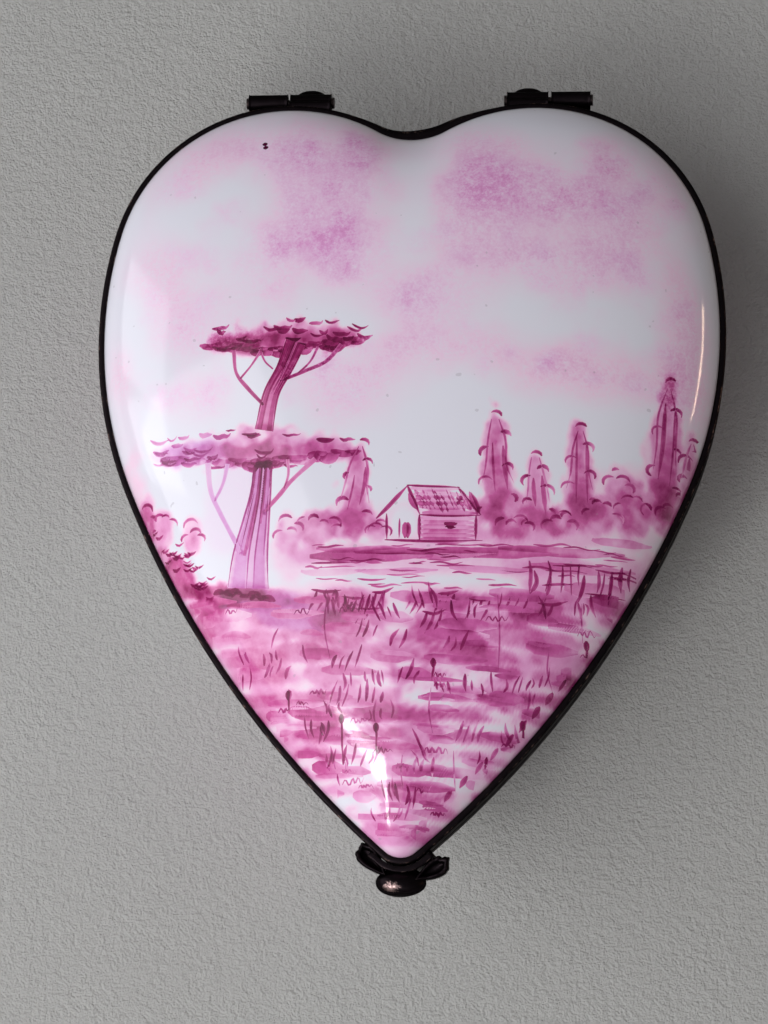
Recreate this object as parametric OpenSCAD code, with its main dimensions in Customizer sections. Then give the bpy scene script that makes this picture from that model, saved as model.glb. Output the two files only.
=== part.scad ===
// Heart-shaped trinket box: a porcelain bowl and a domed porcelain lid, each edged with a metal rim.
// Two pinned hinges behind the lobes join them, and a snap catch with a bow-shaped thumb piece closes them.
// +X is to the right, +Y towards the hinges, +Z up. The origin is at the foot, under the middle.

/* [Heart outline] */
// Radius of the hollow between the two lobes
notch_r = 6.4; // [5:0.1:8]
// How far the outline turns in that hollow, each side of the middle, in degrees
notch_turn = 31; // [29:0.5:33]
// Radius of each lobe
lobe_r = 16.8; // [16:0.1:18]
// Turn of the lobe's arc in degrees
lobe_turn = 106.5; // [104:0.5:109]
// Radius of the flank below each lobe
flank_r = 39.5; // [37:0.5:42]
// Turn of the flank's arc in degrees
flank_turn = 37.5; // [35:0.5:40]
// Turn of the long side that runs down to the point, in degrees
side_turn = 26.5; // [25:0.5:28]
// Radius of the point
tip_r = 2.2; // [1.4:0.1:2.8]

/* [Porcelain] */
// Height of the closing plane above the foot
parting_z = 17; // [15:0.5:22]
// Height of the lid's dome above its rim
dome_h = 8.8; // [7:0.1:11]
// Wall of the bowl and the lid
wall = 2.6; // [2:0.1:3]
// Size of the foot as a share of the bowl's outline
foot_scale = 0.74; // [0.65:0.01:0.82]
// Width of the foot ring
foot_ring_w = 2.2; // [1.5:0.1:3]
// Depth of the recess inside the foot ring
foot_recess = 0.8; // [0.4:0.1:1.2]

/* [Metal rims] */
// Thickness of the rims' outer band
band_t = 0.6; // [0.5:0.05:0.8]
// Height of the lid's rim
lid_rim_h = 2.2; // [1.8:0.1:2.6]
// Height of the bowl's rim
base_rim_h = 2.1; // [1.8:0.1:2.6]
// Thickness of the rims' flanges
flange_t = 0.5; // [0.4:0.05:0.6]
// Height that the bowl rim's inner lip stands into the lid
lip_h = 0.5; // [0.4:0.05:0.6]

/* [Hinges] */
// Distance of the left hinge from the middle
hinge_x = 12.3; // [11.5:0.1:12.8]
// How much further out the right hinge is soldered
right_hinge_shift = 0.8; // [0:0.1:1]
// Outer radius of the hinge knuckles
knuckle_r = 0.85; // [0.75:0.01:0.9]
// Radius of the hinge pins
pin_r = 0.35; // [0.3:0.01:0.4]
// Length of the knuckle on the bowl, on the outer side
base_knuckle_len = 3.8; // [3.5:0.1:4.6]
// Length of the knuckle on the lid, on the inner side
lid_knuckle_len = 4; // [3:0.1:4.3]

/* [Catch] */
// Half of the width of the catch plate
plate_half_w = 3.2; // [2.6:0.1:3.6]
// Width of the thumb knob
knob_w = 4.7; // [4:0.1:5.5]
// Length of each loop of the bow
loop_len = 3.9; // [3:0.1:4.5]

/* [Hidden] */

// Clearances and small sizes
rim_gap = 0.06;                 // between the closed rims
band_over = 0.3;                // how far a rim's band covers the start of the porcelain's curve
bedding_t = 0.2;                // thickness of the plaster under each flange
lip_t = 0.5;                    // thickness of the alignment lip
lip_in = 1.1;                   // how far inside the porcelain's outline the lip starts
lid_flange_in = lip_in - 0.2;   // the lid's flange stops short of the lip
press_gap = 0.01;               // around a pin where it's held
turn_gap = 0.05;                // around a pin where the knuckle turns on it
knuckle_gap = 0.3;              // between the two knuckles of a hinge
swing_gap = 0.08;               // between a knuckle and the rim's wall
leaf_h = 1.5;                   // height of the leaf that joins a knuckle to its rim
pin_head_r = 0.55;
pin_head_t = 0.25;
pin_end_gap = 0.05;             // between the pin's inner head and the knuckle that turns on the pin
knob_r = 1.5;                   // radius of the thumb knob about its long axis
knob_out = 0.9;                 // distance of the knob's axis in front of the catch plate
lug_r = 2.2;                    // radius of the rounded stop lug on each lid knuckle
lug_out = 1.42;                 // how far the lug stands out from the hinge's axis
lug_half_t = 0.42;              // half of the lug's thickness
lug_tilt = 12;                  // how far the lug points down when the lid is closed, in degrees
plate_t = 0.6;                  // thickness of the catch plate
plate_gap = 0.12;               // between the catch plate and the bowl's rim
plate_down = 2.1;               // how far the catch plate reaches below the closing plane
plate_up = 1.9;                 // and above it
catch_down = 1;                 // depth of the bead and its hole below the closing plane
bead_r = 0.45;
catch_hole_r = 0.55;

// Outline: five arcs from the notch to the point. The long side's radius makes it end on the middle line.
turns = [
    notch_turn, -lobe_turn, -flank_turn, -side_turn,
    -(180 + notch_turn - lobe_turn - flank_turn - side_turn),
];
steps = [4, 12, 6, 6, 6];
function heading(k) = k == 0 ? 0 : heading(k - 1) + turns[k - 1];
// Sideways travel of arc k, for a radius of one
function travel(k) = sign(turns[k]) * (sin(heading(k + 1)) - sin(heading(k)));
side_r = -(notch_r * travel(0) + lobe_r * travel(1) + flank_r * travel(2) + tip_r * travel(4)) / travel(3);

// Radius of arc k on the outline moved outwards by d. An outline moved far inwards keeps a rounded point, and
// its long side makes up for that.
tip_min = 0.7;
function radius(k, d) =
    k == 0 ? notch_r - d :
    k == 1 ? lobe_r + d :
    k == 2 ? flank_r + d :
    k == 3 ? side_r + d - (radius(4, d) - tip_r - d) * travel(4) / travel(3) :
    max(tip_r + d, tip_min);

// Point reached on arc k at heading h, where the arc starts at p
function on_arc(k, p, h, d) = p + sign(turns[k]) * radius(k, d)
    * [sin(h) - sin(heading(k)), cos(heading(k)) - cos(h)];
function arc_start(k, d) = k == 0 ? [0, d] : on_arc(k - 1, arc_start(k - 1, d), heading(k), d);
top_y = on_arc(1, arc_start(1, 0), 0, 0).y;
tip_y = arc_start(5, 0).y;
half_w = on_arc(2, arc_start(2, 0), -90, 0).x;

hinge_y = top_y + band_t + knuckle_r + swing_gap;
hinge_z = parting_z + rim_gap / 2;
plate_y = tip_y - band_t - plate_gap - plate_t;     // front of the catch plate
knob_y = plate_y - knob_out;
// Moves the outline so that the whole box, from the thumb knob to the hinges, is centred
lug_reach = lug_out * cos(lug_tilt) + lug_half_t * sin(lug_tilt);
shift_y = -(hinge_y + lug_reach + knob_y - knob_r) / 2;

// The outline moved outwards by d, clockwise from the notch
function right_half(d) = [
    for (k = [0:4]) let (p = arc_start(k, d))
        for (i = [0:steps[k] - 1]) on_arc(k, p, heading(k) + turns[k] * i / steps[k], d),
    arc_start(5, d),
];
function outline(d) = let (right = [for (p = right_half(d)) p + [0, shift_y]])
    [each right, for (i = [len(right) - 2:-1:1]) [-right[i].x, right[i].y]];

// Contours shrink towards the middle and soften into an oval, so the notch fades out as they do
mid_below_notch = 26;
mid_y = shift_y - mid_below_notch;
oval_x = 28;
oval_up = 29;
oval_down = 38;
soften = 3;
function oval(v) = norm(v) / norm([v.x / oval_x, v.y / (v.y > 0 ? oval_up : oval_down)]);
function contour(d, s, z) = [
    for (p = outline(d)) let (v = p - [0, mid_y], k = pow(s, soften), n = norm(v))
        let (r = s * (k * n + (1 - k) * oval(v) * (1 + d / half_w)))
            [v.x / n * r, v.y / n * r + mid_y, z],
];
function flat(d, z) = [for (p = outline(d)) [p.x, p.y, z]];
dome_power = 2.2;
function crown(s) = sqrt(1 - pow(s, dome_power));

// Closed skin through rings of equal length, from one pole to the other
module skin(first, rings, last) {
    n = len(rings[0]);
    m = len(rings);
    function at(j, i) = 1 + j * n + i % n;
    polyhedron(
        points = [first, for (ring = rings) each ring, last],
        faces = [
            for (i = [0:n - 1]) [0, at(0, i), at(0, i + 1)],
            for (j = [0:m - 2]) for (i = [0:n - 1]) each [
                [at(j, i), at(j + 1, i), at(j + 1, i + 1)],
                [at(j, i), at(j + 1, i + 1), at(j, i + 1)],
            ],
            for (i = [0:n - 1]) [at(m - 1, i), 1 + m * n, at(m - 1, i + 1)],
        ],
        convexity = 6
    );
}

// Flat ring between two offsets of the outline
module ring(inner, outer, z, h) {
    translate([0, 0, z]) linear_extrude(h) difference() {
        polygon(outline(outer));
        polygon(outline(inner));
    }
}

// Angles that space the rings of a dome or a bowl evenly along its curve
dome_rings = 9;
function ease(i) = sin(90 * i / dome_rings);

module lid_porcelain() {
    edge_z = parting_z + flange_t + bedding_t;
    dome_z = parting_z + lid_rim_h - band_over;
    color("lavenderblush") skin(
        [0, mid_y, dome_z + dome_h],
        [
            for (i = [1:dome_rings]) contour(0, ease(i), dome_z + dome_h * crown(ease(i))),
            flat(0, edge_z),
            flat(-wall, edge_z),
            for (i = [dome_rings:-1:1])
                contour(-wall, ease(i), dome_z + (dome_h - wall) * crown(ease(i))),
        ],
        [0, mid_y, dome_z + dome_h - wall]
    );
}

module base_porcelain() {
    edge_z = parting_z - flange_t - bedding_t;
    side_z = parting_z - base_rim_h + band_over;
    floor_z = foot_recess + wall;
    foot_z = 0.9;
    ring_inner = foot_scale - foot_ring_w / half_w;
    recess_inner = ring_inner - 0.02;
    // Outer and inner side curves, from the edge down
    function out_s(i) = foot_scale + (1 - foot_scale) * ease(i);
    function out_z(i) = side_z - (side_z - foot_z) * crown(ease(i));
    function in_z(i) = floor_z + (side_z - floor_z) * (1 - crown(ease(i)));
    color("white") skin(
        [0, mid_y, floor_z],
        [
            contour(-wall, foot_scale * 0.5, floor_z),
            for (i = [1:dome_rings]) contour(-wall, out_s(i), in_z(i)),
            flat(-wall, edge_z),
            flat(0, edge_z),
            for (i = [dome_rings:-1:1]) contour(0, out_s(i), out_z(i)),
            contour(0, foot_scale, foot_z),
            contour(0, foot_scale, 0),
            contour(0, ring_inner, 0),
            contour(0, recess_inner, foot_recess),
        ],
        [0, mid_y, foot_recess]
    );
}

module base_bedding() {
    color("gainsboro") ring(-lip_in - lip_t, 0, parting_z - flange_t - bedding_t, bedding_t);
}

module lid_bedding() {
    color("gainsboro") ring(-lid_flange_in, 0, parting_z + flange_t, bedding_t);
}

module base_rim() {
    color("#2b2024") union() {
        ring(0, band_t, parting_z - base_rim_h, base_rim_h);
        ring(-lip_in - lip_t, band_t, parting_z - flange_t, flange_t);
        ring(-lip_in - lip_t, -lip_in, parting_z - flange_t, flange_t + lip_h);
    }
}

module lid_rim() {
    low = parting_z + rim_gap;
    color("#2b2024") union() {
        ring(0, band_t, low, lid_rim_h - rim_gap);
        ring(-lid_flange_in, band_t, low, flange_t - rim_gap);
    }
}

// Knuckle from x0 to x1 with a leaf down to (side -1) or up to (side 1) its rim
module knuckle(x0, x1, side, bore_r) {
    len = x1 - x0;
    leaf_z = side > 0 ? rim_gap / 2 : -leaf_h - rim_gap / 2;
    translate([0, shift_y, 0]) difference() {
        union() {
            translate([x0, hinge_y, hinge_z]) rotate([0, 90, 0]) cylinder(r = knuckle_r, h = len, $fn = 48);
            difference() {
                translate([x0, top_y - 1, hinge_z + leaf_z]) cube([len, hinge_y - top_y + 1, leaf_h]);
                translate([0, -shift_y, hinge_z - leaf_h - 1]) linear_extrude(2 * leaf_h + 2)
                    polygon(outline(band_t));
            }
        }
        translate([x0 - 1, hinge_y, hinge_z]) rotate([0, 90, 0]) cylinder(r = bore_r, h = len + 2, $fn = 48);
    }
}

// Each hinge is made for the right-hand side, from x = at outwards, and the left one is mirrored
hinge_len = base_knuckle_len + knuckle_gap + lid_knuckle_len;
left_at = hinge_x - hinge_len / 2;
right_at = left_at + right_hinge_shift;

module base_knuckle(at) {
    knuckle(at + hinge_len - base_knuckle_len, at + hinge_len, -1, pin_r + press_gap);
}

// Rounded lug that meets the bowl's rim when the lid is fully open
module stop_lug(x) {
    translate([x, hinge_y + shift_y, hinge_z]) rotate([-lug_tilt, 0, 0]) intersection() {
        translate([0, lug_out - lug_r, 0]) sphere(r = lug_r, $fn = 48);
        translate([-lug_r, knuckle_r * 0.7, -lug_half_t]) cube([2 * lug_r, lug_r, 2 * lug_half_t]);
    }
}

module lid_knuckle(at) {
    union() {
        knuckle(at, at + lid_knuckle_len, 1, pin_r + turn_gap);
        stop_lug(at + lid_knuckle_len / 2);
    }
}

// Pin with a peened head at each end
module hinge_pin(at) {
    len = hinge_len + pin_end_gap;
    translate([at - pin_end_gap, hinge_y + shift_y, hinge_z]) rotate([0, 90, 0]) union() {
        cylinder(r = pin_r, h = len, $fn = 48);
        translate([0, 0, -pin_head_t]) cylinder(r = pin_head_r, h = pin_head_t, $fn = 48);
        translate([0, 0, len]) cylinder(r = pin_head_r, h = pin_head_t, $fn = 48);
    }
}

module right_base_knuckle() { color("#33272a") base_knuckle(right_at); }
module left_base_knuckle() { color("#33272a") mirror([1, 0, 0]) base_knuckle(left_at); }
module right_lid_knuckle() { color("#3b2e30") lid_knuckle(right_at); }
module left_lid_knuckle() { color("#3b2e30") mirror([1, 0, 0]) lid_knuckle(left_at); }
module right_hinge_pin() { color("#4a3b38") hinge_pin(right_at); }
module left_hinge_pin() { color("#4a3b38") mirror([1, 0, 0]) hinge_pin(left_at); }

// Bead on the bowl's rim that the catch plate snaps over
module catch_bead() {
    color("#4a3b38") difference() {
        translate([0, tip_y - band_t + shift_y, parting_z - catch_down]) sphere(r = bead_r, $fn = 48);
        translate([0, 0, parting_z - base_rim_h]) linear_extrude(base_rim_h) polygon(outline(band_t));
    }
}

// Plate that wraps round the point, soldered to the lid's rim, and hanging clear in front of the bowl's rim
module catch_plate() {
    solder_z = parting_z + 0.3;
    color("#2b2024") difference() {
        intersection() {
            union() {
                ring(band_t, band_t + plate_gap + plate_t, solder_z, plate_up + parting_z - solder_z);
                ring(band_t + plate_gap, band_t + plate_gap + plate_t,
                    parting_z - plate_down, plate_down + solder_z - parting_z);
            }
            translate([-plate_half_w, tip_y - 5 + shift_y, 0]) cube([2 * plate_half_w, 9, 2 * parting_z]);
        }
        translate([0, tip_y + 2 + shift_y, parting_z - catch_down]) rotate([90, 0, 0])
            cylinder(r = catch_hole_r, h = 6, $fn = 48);
    }
}

// Everything within the catch plate's outer face, for cutting the pieces that are soldered to it
module inside_plate() {
    linear_extrude(2 * parting_z) polygon(outline(band_t + plate_gap + plate_t));
}

// Oval knob, turned about the X axis, with a flat where it's soldered to the plate
knob_up = 0.75;                 // height of the knob's axis above the closing plane
module thumb_knob() {
    profile = [for (a = [0:10:180]) [knob_r * sin(a), knob_w / 2 * cos(a)]];
    color("#5a4644") difference() {
        translate([0, knob_y + shift_y, parting_z + knob_up]) rotate([0, 90, 0])
            rotate_extrude($fn = 48) polygon(profile);
        inside_plate();
    }
}

// One loop of the bow, a teardrop of ribbon round a pocket, that lies back along the side
loop_h = 1.8;
loop_half_w = 0.95;
ribbon_t = 0.5;
loop_web = 0.8;                 // thickness of the bottom of the pocket
loop_turn = 44;
loop_start = [1.25, -0.45];     // from the middle of the plate's front
loop_up = 0.2;                  // above the closing plane
function teardrop(l, w, x0) = [
    for (a = [0:15:345]) [x0 + l * (1 - cos(a)) / 2, 1.3 * w * sin(a) * pow(sin(a / 2), 1.2)],
];
module bow_loop() {
    translate([loop_start.x, plate_y + loop_start.y + shift_y, parting_z + loop_up]) rotate([0, 0, loop_turn])
        difference() {
            linear_extrude(loop_h) polygon(teardrop(loop_len, loop_half_w, 0));
            translate([0, 0, loop_web]) linear_extrude(loop_h)
                polygon(teardrop(loop_len - 2.2 * ribbon_t, loop_half_w - ribbon_t, 1.2 * ribbon_t));
        }
}

// A loop, cut back where it meets the knob and the plate
module soldered_loop() {
    difference() {
        bow_loop();
        thumb_knob();
        inside_plate();
    }
}
module right_bow_loop() { color("#33272a") soldered_loop(); }
module left_bow_loop() { color("#33272a") mirror([1, 0, 0]) soldered_loop(); }

base_porcelain();
base_bedding();
base_rim();
catch_bead();
left_base_knuckle();
left_hinge_pin();
right_base_knuckle();
right_hinge_pin();
lid_porcelain();
lid_bedding();
lid_rim();
left_lid_knuckle();
right_lid_knuckle();
catch_plate();
thumb_knob();
left_bow_loop();
right_bow_loop();
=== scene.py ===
"""Looks for the heart-shaped porcelain trinket box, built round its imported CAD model.

The porcelain, the rims, the hinges and the clasp are smooth meshes that stand for the CAD solids. The
landscape is painted brush stroke by brush stroke on a canvas of pigment densities, which the glaze's mesh
and a raised skin of strokes carry as vertex values. Lengths are in millimetres up to the point where a mesh
is made.
"""

import math

import bmesh
import bpy
import numpy as np
from mathutils import Matrix, Vector


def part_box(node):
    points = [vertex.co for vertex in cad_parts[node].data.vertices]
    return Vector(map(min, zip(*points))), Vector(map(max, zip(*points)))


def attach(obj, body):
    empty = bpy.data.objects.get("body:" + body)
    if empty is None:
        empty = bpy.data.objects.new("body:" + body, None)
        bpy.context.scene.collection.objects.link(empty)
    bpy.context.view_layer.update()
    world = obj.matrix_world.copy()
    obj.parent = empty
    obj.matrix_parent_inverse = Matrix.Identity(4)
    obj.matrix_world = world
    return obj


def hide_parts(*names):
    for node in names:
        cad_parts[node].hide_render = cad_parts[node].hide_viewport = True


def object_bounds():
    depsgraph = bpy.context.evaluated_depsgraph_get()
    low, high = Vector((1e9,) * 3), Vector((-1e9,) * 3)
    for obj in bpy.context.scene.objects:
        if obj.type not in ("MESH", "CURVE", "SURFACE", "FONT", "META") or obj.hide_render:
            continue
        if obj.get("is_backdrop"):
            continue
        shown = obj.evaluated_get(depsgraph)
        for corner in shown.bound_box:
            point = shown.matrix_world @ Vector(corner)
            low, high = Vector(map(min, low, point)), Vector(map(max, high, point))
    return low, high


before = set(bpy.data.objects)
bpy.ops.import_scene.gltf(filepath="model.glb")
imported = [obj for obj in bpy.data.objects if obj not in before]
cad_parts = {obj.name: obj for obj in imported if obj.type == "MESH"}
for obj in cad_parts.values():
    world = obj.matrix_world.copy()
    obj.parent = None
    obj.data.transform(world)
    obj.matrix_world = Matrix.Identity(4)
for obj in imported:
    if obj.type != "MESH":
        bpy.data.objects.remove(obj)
cad_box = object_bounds()
MM = 0.001


def node_box(node):
    """Lowest and highest corners of a CAD node, in millimetres."""
    low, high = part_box(node)
    return np.array(low) / MM, np.array(high) / MM


# ----------------------------------------------------------------------------
# The heart's outline: five arcs from the notch between the lobes round to the point, as in the CAD model
# ----------------------------------------------------------------------------
ARC_RADII = {"notch": 6.4, "lobe": 16.8, "flank": 39.5, "tip": 2.2}
ARC_TURNS = [31.0, -106.5, -37.5, -26.5]
ARC_TURNS.append(-(180.0 + sum(ARC_TURNS)))
HEADINGS = np.radians(np.concatenate([[0.0], np.cumsum(ARC_TURNS)]))
TIP_MIN = 0.7  # smallest radius at the point
NOTCH, LOBE, FLANK, SIDE, TIP = range(5)

WALL = 2.6  # thickness of the porcelain
BAND_T = 0.6  # thickness of the rims' outer bands
FLANGE_T = 0.5  # thickness of the rims' flanges
BEDDING_T = 0.2  # plaster between a rim and its porcelain
RIM_GAP = 0.06  # between the two rims of the closed box
BAND_OVER = 0.3  # how far the bands reach over the porcelain
LIP_IN = 1.1  # how far inside the outline the bowl's lip stands
LIP_T = 0.5  # thickness of the lip

_, porcelain_high = node_box("lid_porcelain")
_, bowl_high = node_box("base_porcelain")
lid_rim_low, lid_rim_high = node_box("lid_rim")
base_rim_low, base_rim_high = node_box("base_rim")
bead_low, bead_high = node_box("catch_bead")
PARTING_Z = lid_rim_low[2] - RIM_GAP
DOME_Z = lid_rim_high[2] - BAND_OVER
DOME_H = porcelain_high[2] - DOME_Z
HALF_W = porcelain_high[0]
LIP_H = base_rim_high[2] - PARTING_Z
CATCH_Z = (bead_low[2] + bead_high[2]) / 2
KNUCKLE_R = 0.85
FOOT = 0.74  # the foot's size as a share of the outline


def arc_sign(k):
    """+1 where the arc turns left, along the notch, and -1 where it turns right."""
    return math.copysign(1.0, ARC_TURNS[k])


def travel(k):
    """Sideways travel of an arc of radius one."""
    return arc_sign(k) * (math.sin(HEADINGS[k + 1]) - math.sin(HEADINGS[k]))


SIDE_R = -(
    ARC_RADII["notch"] * travel(NOTCH)
    + ARC_RADII["lobe"] * travel(LOBE)
    + ARC_RADII["flank"] * travel(FLANK)
    + ARC_RADII["tip"] * travel(TIP)
) / travel(SIDE)


def arc_radii(d):
    """Radii of the five arcs of the outline moved outwards by d."""
    tip = max(ARC_RADII["tip"] + d, TIP_MIN)
    side = SIDE_R + d - (tip - ARC_RADII["tip"] - d) * travel(TIP) / travel(SIDE)
    return [ARC_RADII["notch"] - d, ARC_RADII["lobe"] + d, ARC_RADII["flank"] + d, side, tip]


def arc_counts(total):
    """Shares a number of points out over the arcs by their lengths, with enough at the point."""
    lengths = np.abs(np.radians(ARC_TURNS)) * arc_radii(0.0)
    counts = np.maximum(np.round(total * lengths / lengths.sum()), 8).astype(int)
    counts[SIDE] += total - counts.sum()
    return counts


def half_outline(d, total):
    """Points of the right half, from the notch to the point. The plain outline's notch is the origin."""
    start = np.array([0.0, d])
    parts = []
    for k, (r, n) in enumerate(zip(arc_radii(d), arc_counts(total))):
        sign = arc_sign(k)
        along = np.linspace(HEADINGS[k], HEADINGS[k + 1], n + 1)
        x = start[0] + sign * r * (np.sin(along) - math.sin(HEADINGS[k]))
        y = start[1] + sign * r * (math.cos(HEADINGS[k]) - np.cos(along))
        parts.append(np.column_stack([x, y])[:-1])
        start = np.array([x[-1], y[-1]])
    parts.append(start[None])
    return np.vstack(parts)


NOTCH_Y = porcelain_high[1] - half_outline(0.0, 400)[:, 1].max()


def outline(d, total=360):
    """The whole outline moved outwards by d, clockwise from the notch, 2 * total points."""
    right = half_outline(d, total) + [0.0, NOTCH_Y]
    return np.vstack([right, (right * [-1, 1])[-2:0:-1]])


# Contours shrink towards the middle and soften into an oval, so the notch fades out as they do
MID_Y = NOTCH_Y - 26.0
OVAL_X, OVAL_UP, OVAL_DOWN = 28.0, 29.0, 38.0  # how far the oval reaches from the middle
SOFTEN = 3  # higher keeps the heart's shape to the edge only
DOME_POWER = 2.2  # 2 would make the dome's section an ellipse
BEHIND_Y = MID_Y + 20  # everything behind this line is at the notch and the hinges
RING = 720  # points round a full ring


def oval_reach(v):
    """Distance from the middle to the oval along each direction v."""
    up = np.where(v[:, 1] > 0, OVAL_UP, OVAL_DOWN)
    return np.linalg.norm(v, axis=1) / np.hypot(v[:, 0] / OVAL_X, v[:, 1] / up)


def contour(d, share, z, total=360):
    """The outline moved outwards by d and shrunk to a share of its size, at height z."""
    v = outline(d, total) - [0.0, MID_Y]
    reach = np.linalg.norm(v, axis=1)
    k = share**SOFTEN
    r = share * (k * reach + (1 - k) * oval_reach(v) * (1 + d / HALF_W))
    flat = v / reach[:, None] * r[:, None] + [0.0, MID_Y]
    return np.column_stack([flat, np.full(len(flat), z)])


def ring_at(d, z):
    """The outline moved outwards by d, at height z."""
    return np.column_stack([outline(d), np.full(RING, z)])


def crown(share):
    """Height of the dome's section, from 1 in the middle to 0 at the edge."""
    return np.sqrt(np.maximum(0.0, 1.0 - np.asarray(share, float) ** DOME_POWER))


def even_shares(n, reach, rise):
    """Shares from just off the middle to the edge, evenly spaced along a section of that reach and rise."""
    fine = 1 - (1 - np.linspace(0, 1, 4000)) ** 2
    step = np.hypot(np.diff(fine * reach), np.diff(crown(fine) * rise))
    length = np.concatenate([[0], np.cumsum(step)])
    return np.interp(np.linspace(0, length[-1], n + 1)[1:], length, fine)


def edge_by_angle():
    """The outline as sorted angles round the middle and the reach at each."""
    edge = outline(0.0, 900) - [0.0, MID_Y]
    angle = np.arctan2(edge[:, 1], edge[:, 0])
    order = np.argsort(angle)
    return angle[order], np.linalg.norm(edge, axis=1)[order]


EDGE = edge_by_angle()


def share_at(xy):
    """Which contour of the dome passes through each point."""
    v = xy - [0.0, MID_Y] + 1e-9
    reach = np.interp(np.arctan2(v[:, 1], v[:, 0]), *EDGE, period=2 * np.pi)
    middle = oval_reach(v)
    goal = np.linalg.norm(v, axis=1)
    low, high = np.zeros(len(xy)), np.ones(len(xy))
    for _ in range(30):
        share = (low + high) / 2
        inside = share * (share**SOFTEN * reach + (1 - share**SOFTEN) * middle) < goal
        low, high = np.where(inside, share, low), np.where(inside, high, share)
    return (low + high) / 2


def dome_height(xy):
    """Height of the dome's surface over each point."""
    return DOME_Z + DOME_H * crown(share_at(xy))


def on_dome(xy, lift):
    """Points of the dome under xy, lifted along its normals, and those normals."""
    e = 0.05
    slope_x = (dome_height(xy + [e, 0]) - dome_height(xy - [e, 0])) / (2 * e)
    slope_y = (dome_height(xy + [0, e]) - dome_height(xy - [0, e])) / (2 * e)
    normal = np.column_stack([-slope_x, -slope_y, np.ones(len(xy))])
    normal /= np.linalg.norm(normal, axis=1)[:, None]
    place = np.column_stack([xy, dome_height(xy)])
    return place + normal * np.asarray(lift)[:, None], normal


# ----------------------------------------------------------------------------
# Meshes
# ----------------------------------------------------------------------------
def make_piece(name, points, faces, material, body, recalculate=True):
    """A smooth mesh object from points in millimetres, with outward faces, riding on a body."""
    mesh = bpy.data.meshes.new(name)
    mesh.from_pydata((np.asarray(points) * MM).tolist(), [], faces)
    mesh.materials.append(material)
    if recalculate:
        work = bmesh.new()
        work.from_mesh(mesh)
        bmesh.ops.recalc_face_normals(work, faces=work.faces)
        work.to_mesh(mesh)
        work.free()
    mesh.polygons.foreach_set("use_smooth", [True] * len(mesh.polygons))
    piece = bpy.data.objects.new(name, mesh)
    bpy.context.scene.collection.objects.link(piece)
    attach(piece, body)
    return piece


def set_values(piece, name, values):
    """Gives every vertex a named number that the materials read."""
    layer = piece.data.attributes.new(name, "FLOAT", "POINT")
    layer.data.foreach_set("value", np.asarray(values, np.float32))


def ring_faces(m, n, wrap_rings=False, wrap_points=True):
    """Quads between m rings of n points, from the first ring to the last."""
    rows = m if wrap_rings else m - 1
    columns = n if wrap_points else n - 1
    j, i = np.meshgrid(np.arange(rows), np.arange(columns), indexing="ij")
    j, i = j.ravel(), i.ravel()
    below, beside = (j + 1) % m, (i + 1) % n
    return np.column_stack([j * n + i, below * n + i, below * n + beside, j * n + beside]).tolist()


def rings_with_poles(first, rings, last):
    """Points and faces of a closed skin through rings, from one pole to the other."""
    m, n = len(rings), len(rings[0])
    points = np.vstack([*rings, first, last])
    pole_a, pole_b = m * n, m * n + 1
    fans = [[pole_a, i, (i + 1) % n] for i in range(n)]
    fans += [[pole_b, (m - 1) * n + (i + 1) % n, (m - 1) * n + i] for i in range(n)]
    return points, ring_faces(m, n) + fans


def fillet(corners, radii, steps=4):
    """A closed polygon with its corners rounded; returns the points and how much wear each one shows."""
    corners = np.asarray(corners, float)
    points, wear_and_sheen = [], []
    for k, corner in enumerate(corners):
        to_last, to_next = corners[k - 1] - corner, corners[(k + 1) % len(corners)] - corner
        to_last /= np.linalg.norm(to_last)
        to_next /= np.linalg.norm(to_next)
        if radii[k] == 0:
            points.append(corner)
            wear_and_sheen.append(0.0)
            continue
        a, b = corner + to_last * radii[k], corner + to_next * radii[k]
        for t in np.linspace(0, 1, steps + 1):
            points.append((1 - t) ** 2 * a + 2 * t * (1 - t) * corner + t**2 * b)
            wear_and_sheen.append(math.sin(math.pi * (0.15 + 0.7 * t)))
    return np.array(points), np.array(wear_and_sheen)


NOTCH_BAND_X, NOTCH_BAND_W = 1.2, 4.2  # middle and width of the thicker part in the notch
NOTCH_BAND_T = [-0.1, 0.7]  # how far it moves its inner and its outer face


def swept_band(profile, total=360):
    """Closed band whose section is a list of (offset, height) points, all the way round the heart.

    It's thicker in the notch, where the metal was bent round a tight corner.
    """
    rings = []
    for d, z in profile:
        ring = outline(d, total)
        if d >= 0:
            notch = np.exp(-(((ring[:, 0] - NOTCH_BAND_X) / NOTCH_BAND_W) ** 2)) * (ring[:, 1] > BEHIND_Y)
            thicker = np.interp(d, [0, BAND_T], NOTCH_BAND_T)
            ring = ring + np.column_stack([np.zeros(len(ring)), notch * thicker])
        rings.append(np.column_stack([ring, np.full(len(ring), z)]))
    return np.vstack(rings), ring_faces(len(rings), 2 * total, wrap_rings=True)


# ----------------------------------------------------------------------------
# Painting: brush strokes laid on a canvas of pigment densities
# ----------------------------------------------------------------------------
FULL = 5.5  # the most pigment that a place can hold
OCTAVES = 3  # layers of finer and finer noise
STROKE_STEP = 0.22  # distance between the points of a stroke
STRIP_COLUMNS = np.array([-1.15, -0.85, 0.0, 0.85, 1.15])  # across a stroke, in half widths


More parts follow.
